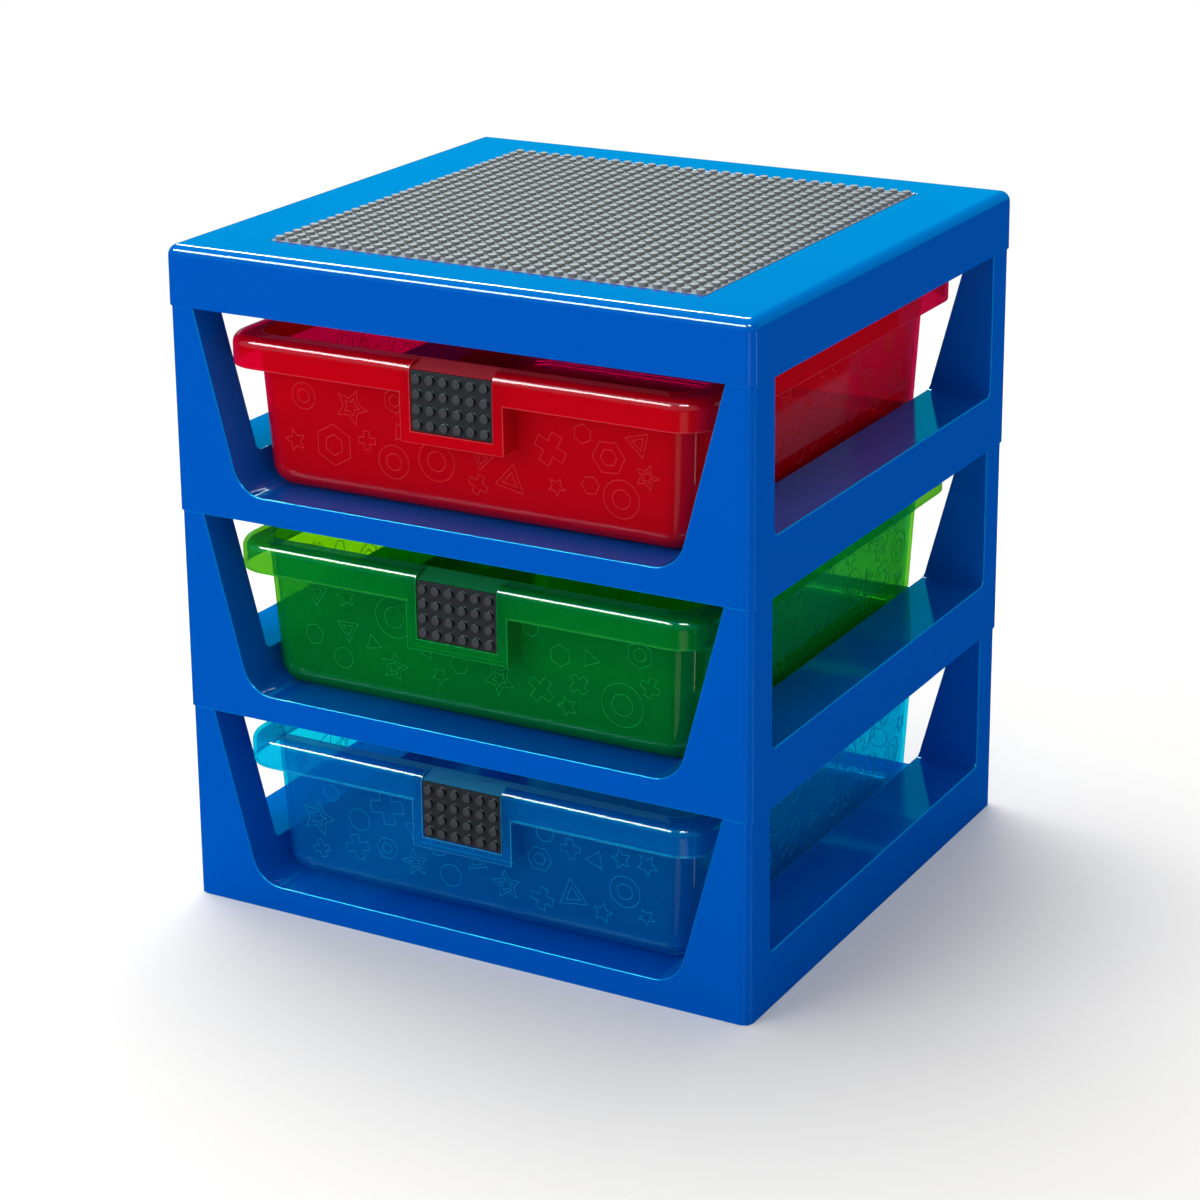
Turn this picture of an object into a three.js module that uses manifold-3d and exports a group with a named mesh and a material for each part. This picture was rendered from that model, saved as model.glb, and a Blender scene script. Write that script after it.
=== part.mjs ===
// Three tier drawer rack with a studded plate let into its table top, at real size in millimetres.
// X runs to the right, Y to the back and Z up, and the origin is the middle of the bottom rim.
// Three equal open frames stack under a table top, and each frame carries one sliding drawer.
import * as THREE from "three";
import * as BufferGeometryUtils from "three/addons/utils/BufferGeometryUtils.js";
import Module from "manifold-3d";

const wasm = await Module();
wasm.setup();

// Rack sizes
const rackWidth = 345;
const rackDepth = 324;
const tierHeight = 113;
const wall = 2.5;
const cornerRadius = 6.2;
const seamStep = 1;
const fitGap = 0.3;
const cutOverrun = 5;

// Openings in a tier
const sillHeight = 14.5;
const ledgeHeight = 32;
const ledgeWidth = 37.5;
const postTopWidth = 16.5;
const windowArcRadius = 18.5;
const sideMargin = 24;
const sideFillet = 4;
const plugHeight = 9;

// Ribs moulded under the floors
const ribWall = 2;
const ribDepth = 8;
const ribSpacing = 72;
const socketClearance = 0.4;

// Table top
const lidHeight = 32.5;
const lidEdgeRadius = 6;
const lidDraft = 0.4;
const lidRibDepth = 7;

// Stud plate and studs
const studPitch = 8;
const studDiameter = 4.9;
const studHeight = 1.8;
const plateThickness = 2;
const plateCornerRadius = 2;
const plateStuds = 32;

// Drawers
const drawerWall = 2.2;
const drawerSideGap = 3.5;
const drawerSetback = 3.5;
const drawerHeadroom = 13;
const drawerDraft = THREE.MathUtils.degToRad(2.5);
const drawerCornerRadius = 15;
const drawerFootRadius = 12;
const rimOverhang = 12;
const rimSkirt = 16.6;
const rimFlare = 0.4;
const rimCornerRadius = 21.5;
const rimEdgeRadius = 6;
const rimLipRadius = 1;

// Handle bracket and its grip pad
const bracketBorder = 6.6;
const bracketWall = 2.2;
const padColumns = 6;
const padRows = 4;
const padThickness = 2;
const padRecess = 0.7;
const padTopDrop = 4;
const notchDepth = 12.5;

// Counts of flat facets on the curves
const cornerSteps = 4;
const drawerCornerSteps = 5;
const edgeSteps = 2;
const lidEdgeSteps = 3;
const footSteps = 3;
const arcSegments = 6;
const filletSegments = 3;
const studSides = 6;

// Sizes worked out from those above
const halfWidth = rackWidth / 2;
const halfDepth = rackDepth / 2;
const windowFootHalf = halfWidth - ledgeWidth;
const windowHeadHalf = halfWidth - postTopWidth;
const windowLean = (windowHeadHalf - windowFootHalf) / (tierHeight - ledgeHeight);
const sideHalf = halfDepth - sideMargin;
const plugInset = wall + fitGap;
const plateSide = plateStuds * studPitch;
const drawerFloor = sillHeight + fitGap;
const drawerInnerFootRadius = drawerFootRadius - drawerWall;
const drawerTop = tierHeight - drawerHeadroom;
const drawerBodyHalfWidth = windowFootHalf - drawerSideGap;
const rimHalfDepth = halfDepth - drawerSetback;
const drawerBodyHalfDepth = rimHalfDepth - rimOverhang;
const padWidth = padColumns * studPitch;
const padHeight = padRows * studPitch;
const padTop = drawerTop - padTopDrop;
const padBottom = padTop - padHeight;
const bracketHalf = padWidth / 2 + bracketBorder;
const bracketBottom = padBottom - bracketBorder;
const padBack = rimHalfDepth - padRecess - padThickness;

// Colours and gloss of the mouldings
const finishes = {
  rackBlue: { color: 0x0066c8, roughness: 0.18, metalness: 0 },
  plateGrey: { color: 0xa3a6a8, roughness: 0.4, metalness: 0 },
  padBlack: { color: 0x26272a, roughness: 0.45, metalness: 0 },
  red: { color: 0xb4001a, roughness: 0.12, metalness: 0, transparent: true, opacity: 0.85 },
  green: { color: 0x0a7a2c, roughness: 0.12, metalness: 0, transparent: true, opacity: 0.8 },
  blue: { color: 0x0878c0, roughness: 0.12, metalness: 0, transparent: true, opacity: 0.75 },
};

// Turns a closed geometry into a solid that can be cut and joined
function solidOf(geometry) {
  const bare = geometry.clone();
  bare.deleteAttribute("normal");
  bare.deleteAttribute("uv");
  const merged = BufferGeometryUtils.mergeVertices(bare);
  const vertProperties = new Float32Array(merged.attributes.position.array);
  const triVerts = new Uint32Array(merged.index.array);
  return new wasm.Manifold(new wasm.Mesh({ numProp: 3, vertProperties, triVerts }));
}

// Turns a finished solid back into a geometry
function geometryOf(solid) {
  const mesh = solid.getMesh();
  const geometry = new THREE.BufferGeometry();
  geometry.setAttribute("position", new THREE.BufferAttribute(mesh.vertProperties, 3));
  geometry.setIndex(new THREE.BufferAttribute(mesh.triVerts, 1));
  geometry.computeVertexNormals();
  return geometry;
}

// Points of a rectangle with round corners, counterclockwise seen from above
function roundedRing({ halfX, halfY, radius, z }, steps) {
  const points = [];
  const signs = [[1, 1], [-1, 1], [-1, -1], [1, -1]];
  signs.forEach(([signX, signY], quarter) => {
    for (let step = 0; step <= steps; step += 1) {
      const angle = ((quarter + step / steps) * Math.PI) / 2;
      const x = signX * (halfX - radius) + radius * Math.cos(angle);
      const y = signY * (halfY - radius) + radius * Math.sin(angle);
      points.push(new THREE.Vector3(x, y, z));
    }
  });
  return points;
}

// Skins a closed body over a run of rings and caps both of its ends
function loft(rings, steps) {
  const loops = rings.map((ring) => roundedRing(ring, steps));
  const count = loops[0].length;
  const positions = loops.flat().flatMap((point) => point.toArray());
  const index = [];
  for (let level = 0; level + 1 < loops.length; level += 1) {
    for (let i = 0; i < count; i += 1) {
      const next = (i + 1) % count;
      const low = level * count;
      const high = low + count;
      index.push(low + i, low + next, high + next);
      index.push(low + i, high + next, high + i);
    }
  }
  const last = (loops.length - 1) * count;
  for (let i = 1; i + 1 < count; i += 1) {
    index.push(0, i + 1, i);
    index.push(last, last + i, last + i + 1);
  }
  const geometry = new THREE.BufferGeometry();
  geometry.setAttribute("position", new THREE.Float32BufferAttribute(positions, 3));
  geometry.setIndex(index);
  return solidOf(geometry);
}

// A block given by its lowest and highest corners
function block(low, high) {
  const size = high.map((value, axis) => value - low[axis]);
  const geometry = new THREE.BoxGeometry(...size);
  geometry.translate(...low.map((value, axis) => value + size[axis] / 2));
  return solidOf(geometry);
}

// Extrudes a shape drawn in X and Z along the whole of Y
function extrudeAlongY(shape, halfLength, curveSegments) {
  const depth = 2 * halfLength;
  const geometry = new THREE.ExtrudeGeometry(shape, { depth, curveSegments, bevelEnabled: false });
  geometry.rotateX(Math.PI / 2);
  geometry.translate(0, halfLength, 0);
  return geometry;
}

// Extrudes a shape drawn in Y and Z along the whole of X
function extrudeAlongX(shape, halfLength, curveSegments) {
  const geometry = extrudeAlongY(shape, halfLength, curveSegments);
  geometry.rotateZ(Math.PI / 2);
  return geometry;
}

// Joins a list of solids into one
function join(solids) {
  return solids.reduce((sum, solid) => sum.add(solid));
}

// Copies a solid to the four corners of the rack by mirroring it
function fourCorners(solid) {
  const right = solid.add(solid.mirror([0, 1, 0]));
  return right.add(right.mirror([1, 0, 0]));
}

// The drawer window: open above, leaning sides, and arcs down to a flat sill
function windowCut(grow) {
  const lineLength = Math.hypot(1, windowLean);
  const normalX = 1 / lineLength;
  const normalZ = -windowLean / lineLength;
  const reach = normalX * windowFootHalf + normalZ * ledgeHeight;
  const centreZ = sillHeight + windowArcRadius;
  const centreX = (reach - windowArcRadius - normalZ * centreZ) / normalX;
  const radius = windowArcRadius + grow;
  const lean = Math.atan2(normalZ, normalX);
  const topZ = tierHeight + plugHeight + cutOverrun;
  const topX = (reach + grow - normalZ * topZ) / normalX;
  const shape = new THREE.Shape();
  shape.moveTo(topX, topZ);
  shape.lineTo(-topX, topZ);
  shape.absarc(-centreX, centreZ, radius, Math.PI - lean, (3 * Math.PI) / 2, false);
  shape.absarc(centreX, centreZ, radius, -Math.PI / 2, lean, false);
  return solidOf(extrudeAlongY(shape, halfDepth + cutOverrun, arcSegments));
}

// The side window: flat ledge below, a small fillet at each foot, open above
function sideCut(grow) {
  const half = sideHalf + grow;
  const low = ledgeHeight - grow;
  const radius = sideFillet + grow;
  const top = tierHeight + plugHeight + cutOverrun;
  const shape = new THREE.Shape();
  shape.moveTo(half, top);
  shape.lineTo(-half, top);
  shape.absarc(-half + radius, low + radius, radius, Math.PI, (3 * Math.PI) / 2, false);
  shape.absarc(half - radius, low + radius, radius, -Math.PI / 2, 0, false);
  return solidOf(extrudeAlongX(shape, halfWidth + cutOverrun, filletSegments));
}

// A ring of the rack's outline, drawn in from its full size
function rackRing(inset, z) {
  const radius = Math.max(cornerRadius - inset, fitGap);
  return { halfX: halfWidth - inset, halfY: halfDepth - inset, radius, z };
}

// Crossed ribs that hang from a floor, within the rectangle that they stiffen
function floorRibs(reachX, reachY, low, high) {
  const ribs = [];
  for (let place = -1; place <= 1; place += 1) {
    const middle = place * ribSpacing;
    const near = middle - ribWall / 2;
    const far = middle + ribWall / 2;
    ribs.push(block([near, -reachY, low], [far, reachY, high]));
    ribs.push(block([-reachX, near, low], [reachX, far, high]));
  }
  return join(ribs);
}

// Ribs that box in the post top of the frame below, at all four corners
function socketRibs(top) {
  const innerX = windowHeadHalf - socketClearance;
  const innerY = sideHalf - socketClearance;
  const outerX = halfWidth - wall / 2;
  const outerY = halfDepth - wall / 2;
  const across = block([innerX - ribWall, innerY - ribWall, ribWall], [innerX, outerY, top]);
  const along = block([innerX - ribWall, innerY - ribWall, ribWall], [outerX, innerY, top]);
  return fourCorners(across.add(along));
}

// One frame of the stack: a floor between two ledges, four hollow posts and a skirt open below
function tierGeometry() {
  const body = loft([rackRing(0, 0), rackRing(seamStep, tierHeight)], cornerSteps);
  const plugBase = tierHeight - plugHeight;
  const plugTop = tierHeight + plugHeight;
  const plug = loft([rackRing(plugInset, plugBase), rackRing(plugInset, plugTop)], cornerSteps);
  const shaped = body.add(plug).subtract(windowCut(0)).subtract(sideCut(0));
  const cavityBody = [rackRing(wall, -cutOverrun), rackRing(wall + seamStep, tierHeight - wall)];
  const cavityPlugInset = plugInset + wall;
  const cavityPlug = [rackRing(cavityPlugInset, plugBase), rackRing(cavityPlugInset, plugTop - wall)];
  const inner = loft(cavityBody, cornerSteps).add(loft(cavityPlug, cornerSteps));
  const cavity = inner.subtract(windowCut(wall)).subtract(sideCut(wall));
  const floorUnderside = sillHeight - wall;
  const ribReachX = windowFootHalf - windowArcRadius;
  const ribBottom = floorUnderside - ribDepth;
  const ribTop = floorUnderside + wall / 2;
  const ribs = floorRibs(ribReachX, halfDepth - wall / 2, ribBottom, ribTop);
  const sockets = socketRibs(ledgeHeight - wall / 2);
  return geometryOf(shaped.subtract(cavity).add(ribs).add(sockets));
}

// Rings round the table top's top edge, for its outer or its inner skin
function lidEdgeRings(inset, radius) {
  const rings = [];
  for (let step = 0; step <= lidEdgeSteps; step += 1) {
    const angle = ((step / lidEdgeSteps) * Math.PI) / 2;
    const z = lidHeight - lidEdgeRadius + radius * Math.sin(angle);
    rings.push(rackRing(inset + lidDraft + radius * (1 - Math.cos(angle)), z));
  }
  return rings;
}

// The table top: a skirted cover with a shallow recess for the stud plate
function tabletopGeometry() {
  const rings = [rackRing(0, 0), ...lidEdgeRings(0, lidEdgeRadius)];
  const underside = lidHeight - wall;
  const panelHalf = plateSide / 2 + wall;
  const panelBottom = underside - plateThickness;
  const hollowRings = [rackRing(wall, -cutOverrun), ...lidEdgeRings(wall, lidEdgeRadius - wall)];
  const hollow = loft(hollowRings, cornerSteps);
  const panel = block([-panelHalf, -panelHalf, panelBottom], [panelHalf, panelHalf, lidHeight]);
  const recessHalf = plateSide / 2 + fitGap;
  const recessBottom = lidHeight - plateThickness;
  const recessTop = lidHeight + cutOverrun;
  const recess = block([-recessHalf, -recessHalf, recessBottom], [recessHalf, recessHalf, recessTop]);
  const ribTop = underside + wall / 2;
  const ribBottom = panelBottom - lidRibDepth;
  const ribs = floorRibs(halfWidth, halfDepth, ribBottom, ribTop).add(socketRibs(ribTop));
  const middleRings = [rackRing(wall / 2, 0), ...lidEdgeRings(wall / 2, lidEdgeRadius - wall / 2)];
  const rooted = ribs.intersect(loft(middleRings, cornerSteps));
  const cover = loft(rings, cornerSteps).subtract(hollow.subtract(panel));
  return geometryOf(cover.add(rooted).subtract(recess));
}

// A stud that stands on a face, sunk halfway into the plate below it
function studSolid(sides, sunk) {
  const radius = studDiameter / 2;
  const geometry = new THREE.CylinderGeometry(radius, radius, studHeight + sunk, sides);
  geometry.translate(0, (studHeight - sunk) / 2, 0);
  return geometry;
}

// The studded plate let into the table top, flush with its face
// Only the outer run of studs is modelled, since all of them would be over a thousand
function studPlateGeometry() {
  const half = plateSide / 2;
  const outline = { halfX: half, halfY: half, radius: plateCornerRadius };
  let plate = loft([{ ...outline, z: 0 }, { ...outline, z: plateThickness }], cornerSteps);
  for (let row = 0; row < plateStuds; row += 1) {
    const border = row === 0 || row === plateStuds - 1;
    for (let column = 0; column < plateStuds; column += border ? 1 : plateStuds - 1) {
      const stud = studSolid(studSides, plateThickness / 2);
      stud.rotateX(Math.PI / 2);
      const x = (column - (plateStuds - 1) / 2) * studPitch;
      const y = (row - (plateStuds - 1) / 2) * studPitch;
      stud.translate(x, y, plateThickness);
      plate = plate.add(solidOf(stud));
    }
  }
  return geometryOf(plate);
}

// A ring of the drawer's body at a height, which draws in towards the floor
function bodyRing(inset, z) {
  const lean = Math.tan(drawerDraft) * (drawerTop - z);
  const halfX = drawerBodyHalfWidth - lean - inset;
  const halfY = drawerBodyHalfDepth - lean - inset;
  return { halfX, halfY, radius: drawerCornerRadius - inset, z };
}

// A ring of the drawer's rim, measured from the outside of its skirt
function rimRing(inset, z) {
  const halfX = drawerBodyHalfWidth + rimOverhang - inset;
  const halfY = drawerBodyHalfDepth + rimOverhang - inset;
  return { halfX, halfY, radius: rimCornerRadius - inset, z };
}

// Rings of a rounded foot, from the flat floor up to the wall
function footRings(radius, inset, floorZ) {
  const rings = [];
  for (let step = 0; step <= footSteps; step += 1) {
    const angle = ((step / footSteps) * Math.PI) / 2;
    const drawnIn = inset + radius * (1 - Math.sin(angle));
    rings.push(bodyRing(drawnIn, floorZ + radius * (1 - Math.cos(angle))));
  }
  return rings;
}

// The drawer's tray with its overhanging rim, as one run of rings from outside to inside
function trayRings() {
  const flangeBottom = drawerTop - drawerWall;
  const skirtBottom = drawerTop - rimSkirt;
  const edgeStart = drawerTop - rimEdgeRadius;
  const rings = footRings(drawerFootRadius, 0, drawerFloor);
  rings.push(bodyRing(0, flangeBottom));
  const innerRadius = rimEdgeRadius - drawerWall;
  for (let step = 0; step <= edgeSteps; step += 1) {
    const angle = ((step / edgeSteps) * Math.PI) / 2;
    const inset = rimFlare + drawerWall + innerRadius * (1 - Math.sin(angle));
    rings.push(rimRing(inset, flangeBottom - innerRadius * (1 - Math.cos(angle))));
  }
  rings.push(rimRing(drawerWall, skirtBottom));
  rings.push(rimRing(0, skirtBottom));
  for (let step = 0; step <= edgeSteps; step += 1) {
    const angle = ((step / edgeSteps) * Math.PI) / 2;
    const inset = rimFlare + rimEdgeRadius * (1 - Math.cos(angle));
    rings.push(rimRing(inset, edgeStart + rimEdgeRadius * Math.sin(angle)));
  }
  rings.push(bodyRing(drawerWall - rimLipRadius, drawerTop));
  rings.push(bodyRing(drawerWall, drawerTop - rimLipRadius));
  const inner = footRings(drawerInnerFootRadius, drawerWall, drawerFloor + drawerWall);
  return rings.concat(inner.reverse());
}

// The bracket's mass: flush with the skirt, and within the rolled rim above it
function bracketMass(front, rootY) {
  const edgeStart = drawerTop - rimEdgeRadius;
  const middleRadius = rimEdgeRadius - drawerWall / 2;
  const shape = new THREE.Shape();
  shape.moveTo(rootY, bracketBottom);
  shape.lineTo(rootY, edgeStart + middleRadius);
  shape.absarc(front + rimFlare + rimEdgeRadius, edgeStart, middleRadius, Math.PI / 2, Math.PI, false);
  shape.lineTo(front, edgeStart);
  shape.lineTo(front, bracketBottom);
  return solidOf(extrudeAlongX(shape, bracketHalf, edgeSteps));
}

// The handle bracket: a framed pocket for the grip pad, with a narrow room behind it that is open below
function withBracket(tray) {
  const front = -rimHalfDepth;
  const lean = Math.tan(drawerDraft) * (drawerTop - bracketBottom);
  const rootY = lean + drawerWall / 2 - drawerBodyHalfDepth;
  const flangeBottom = drawerTop - drawerWall;
  const mass = bracketMass(front, rootY);
  const roomHalf = bracketHalf - bracketWall;
  const roomLow = [-roomHalf, bracketWall - padBack, bracketBottom - cutOverrun];
  const roomBlock = block(roomLow, [roomHalf, rootY + cutOverrun, flangeBottom]);
  const room = roomBlock.subtract(notchCut(drawerWall));
  const pocketHalf = padWidth / 2 + fitGap;
  const pocketLow = [-pocketHalf, front - cutOverrun, padBottom - fitGap];
  const pocket = block(pocketLow, [pocketHalf, fitGap - padBack, padTop + fitGap]);
  const framed = tray.add(mass.subtract(room)).subtract(trayInside());
  return framed.subtract(pocket).subtract(notchCut(0));
}

// The space inside the tray, which keeps the bracket out of it
function trayInside() {
  const rings = footRings(drawerInnerFootRadius, drawerWall, drawerFloor + drawerWall);
  rings.push(bodyRing(drawerWall, drawerTop + cutOverrun));
  return loft(rings, drawerCornerSteps);
}

// The sloped notch that dips the rim down to the top edge of the pad, grown by the wall under it
function notchCut(grow) {
  const half = padWidth / 2 + fitGap + grow;
  const front = -rimHalfDepth;
  const slope = (drawerTop - padTop) / notchDepth;
  const highZ = drawerTop - grow * Math.hypot(1, slope);
  const lowZ = highZ - slope * notchDepth;
  const shape = new THREE.Shape();
  shape.moveTo(front - cutOverrun, lowZ - slope * cutOverrun);
  shape.lineTo(front + notchDepth + cutOverrun, highZ + slope * cutOverrun);
  shape.lineTo(front - cutOverrun, highZ + slope * cutOverrun);
  return solidOf(extrudeAlongX(shape, half, edgeSteps));
}

// One drawer: the tray, its rim and the handle bracket
function drawerGeometry() {
  return geometryOf(withBracket(loft(trayRings(), drawerCornerSteps)));
}

// The dark grip pad with its rows of studs, facing the front
function gripPadGeometry() {
  const faceY = -padBack - padThickness;
  let pad = block([-padWidth / 2, faceY, padBottom], [padWidth / 2, -padBack, padTop]);
  for (let row = 0; row < padRows; row += 1) {
    for (let column = 0; column < padColumns; column += 1) {
      const stud = studSolid(studSides, padThickness / 2);
      stud.rotateX(Math.PI);
      const x = (column - (padColumns - 1) / 2) * studPitch;
      stud.translate(x, faceY, padBottom + (row + 1 / 2) * studPitch);
      pad = pad.add(solidOf(stud));
    }
  }
  return geometryOf(pad);
}

// Makes one named mesh with a material of its own
function part(name, geometry, finish) {
  const mesh = new THREE.Mesh(geometry, new THREE.MeshStandardMaterial(finish));
  mesh.name = name;
  return mesh;
}

// The whole rack, stacked from the floor up
const rack = new THREE.Group();
const tier = tierGeometry();
const drawer = drawerGeometry();
const gripPad = gripPadGeometry();
const levels = [
  { place: "bottom", finish: finishes.blue },
  { place: "middle", finish: finishes.green },
  { place: "top", finish: finishes.red },
];

levels.forEach(({ place, finish }, level) => {
  const storey = new THREE.Group();
  storey.position.set(0, 0, level * tierHeight);
  storey.add(part(`${place}_tier`, tier, finishes.rackBlue));
  storey.add(part(`${place}_drawer`, drawer, finish));
  storey.add(part(`${place}_grip_pad`, gripPad, finishes.padBlack));
  rack.add(storey);
});

const crown = new THREE.Group();
crown.position.set(0, 0, levels.length * tierHeight);
crown.add(part("tabletop", tabletopGeometry(), finishes.rackBlue));
const studPlate = part("stud_plate", studPlateGeometry(), finishes.plateGrey);
studPlate.position.set(0, 0, lidHeight - plateThickness);
crown.add(studPlate);
rack.add(crown);

export default rack;
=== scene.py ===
"""Dresses a three tier drawer rack with a studded table top, in a white studio.

Sizes are in millimetres, X to the right, Y to the back and Z up, from the middle of the bottom rim.
Each finished mesh is turned into metres as the last step.
"""

import logging
import math
import random
from collections.abc import Callable, Sequence
from dataclasses import dataclass, field, replace
from enum import Enum

import bmesh
import bpy
from mathutils import Matrix, Vector


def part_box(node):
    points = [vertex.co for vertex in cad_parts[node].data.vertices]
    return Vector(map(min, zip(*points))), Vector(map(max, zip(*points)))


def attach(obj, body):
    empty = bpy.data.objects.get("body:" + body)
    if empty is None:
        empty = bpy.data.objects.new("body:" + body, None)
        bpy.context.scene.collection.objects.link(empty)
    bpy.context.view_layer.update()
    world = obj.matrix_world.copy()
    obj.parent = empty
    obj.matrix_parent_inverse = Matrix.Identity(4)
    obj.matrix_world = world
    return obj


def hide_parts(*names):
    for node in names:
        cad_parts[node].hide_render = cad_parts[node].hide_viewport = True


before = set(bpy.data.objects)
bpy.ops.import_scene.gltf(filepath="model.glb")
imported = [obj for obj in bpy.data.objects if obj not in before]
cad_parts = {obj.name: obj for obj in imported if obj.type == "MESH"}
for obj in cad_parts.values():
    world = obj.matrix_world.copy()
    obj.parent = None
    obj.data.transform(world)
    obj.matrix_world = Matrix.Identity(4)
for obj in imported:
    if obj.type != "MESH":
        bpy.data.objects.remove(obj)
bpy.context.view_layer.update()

log = logging.getLogger("drawer_rack")

MM = 0.001
SHARP_ANGLE = math.radians(32)

# Numbers of a piece's finishes after its main one, which is number 0
SECOND_FINISH = 1
THIRD_FINISH = 2

# Numbers of the colour sockets of a mix node
MIX_FIRST = 6
MIX_SECOND = 7
MIX_RESULT = 2

Point = tuple[float, float, float]
Outline = list[tuple[float, float]]
Colour = tuple[float, float, float, float]
Tone = Colour | bpy.types.NodeSocket


class Axis(Enum):
    """The direction that a drawn outline is pushed along."""

    X = "x"
    Y = "y"


@dataclass(frozen=True)
class Ring:
    """A rectangle with round corners at one height.

    Args:
        half_x: Half of its width.
        half_y: Half of its depth.
        radius: Radius of its corners.
        z: Its height.
    """

    half_x: float
    half_y: float
    radius: float
    z: float

    def points(self, steps: int) -> list[Point]:
        """Walks round the ring counterclockwise, seen from above.

        Args:
            steps: Flat steps in each round corner.

        Returns:
            The points of the ring.
        """
        points = []
        for quarter, (sign_x, sign_y) in enumerate(((1, 1), (-1, 1), (-1, -1), (1, -1))):
            for step in range(steps + 1):
                angle = (quarter + step / steps) * math.pi / 2
                x = sign_x * (self.half_x - self.radius) + self.radius * math.cos(angle)
                y = sign_y * (self.half_y - self.radius) + self.radius * math.sin(angle)
                points.append((x, y, self.z))
        return points


def arc(centre: tuple[float, float], radius: float, start: float, end: float, steps: int) -> Outline:
    """Draws a round stretch of an outline.

    Args:
        centre: Its centre.
        radius: Its radius.
        start: Angle of its first point.
        end: Angle of its last point.
        steps: Flat steps along it.

    Returns:
        The points from start to end.
    """
    angles = [start + (end - start) * step / steps for step in range(steps + 1)]
    return [(centre[0] + radius * math.cos(a), centre[1] + radius * math.sin(a)) for a in angles]


def quarter_turn(steps: int) -> list[float]:
    """Angles from nothing to a right angle, in even steps."""
    return [step / steps * math.pi / 2 for step in range(steps + 1)]


class Operation(Enum):
    """What is done to a solid with another one."""

    CUT = "DIFFERENCE"
    JOIN = "UNION"
    KEEP = "INTERSECT"


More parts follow.
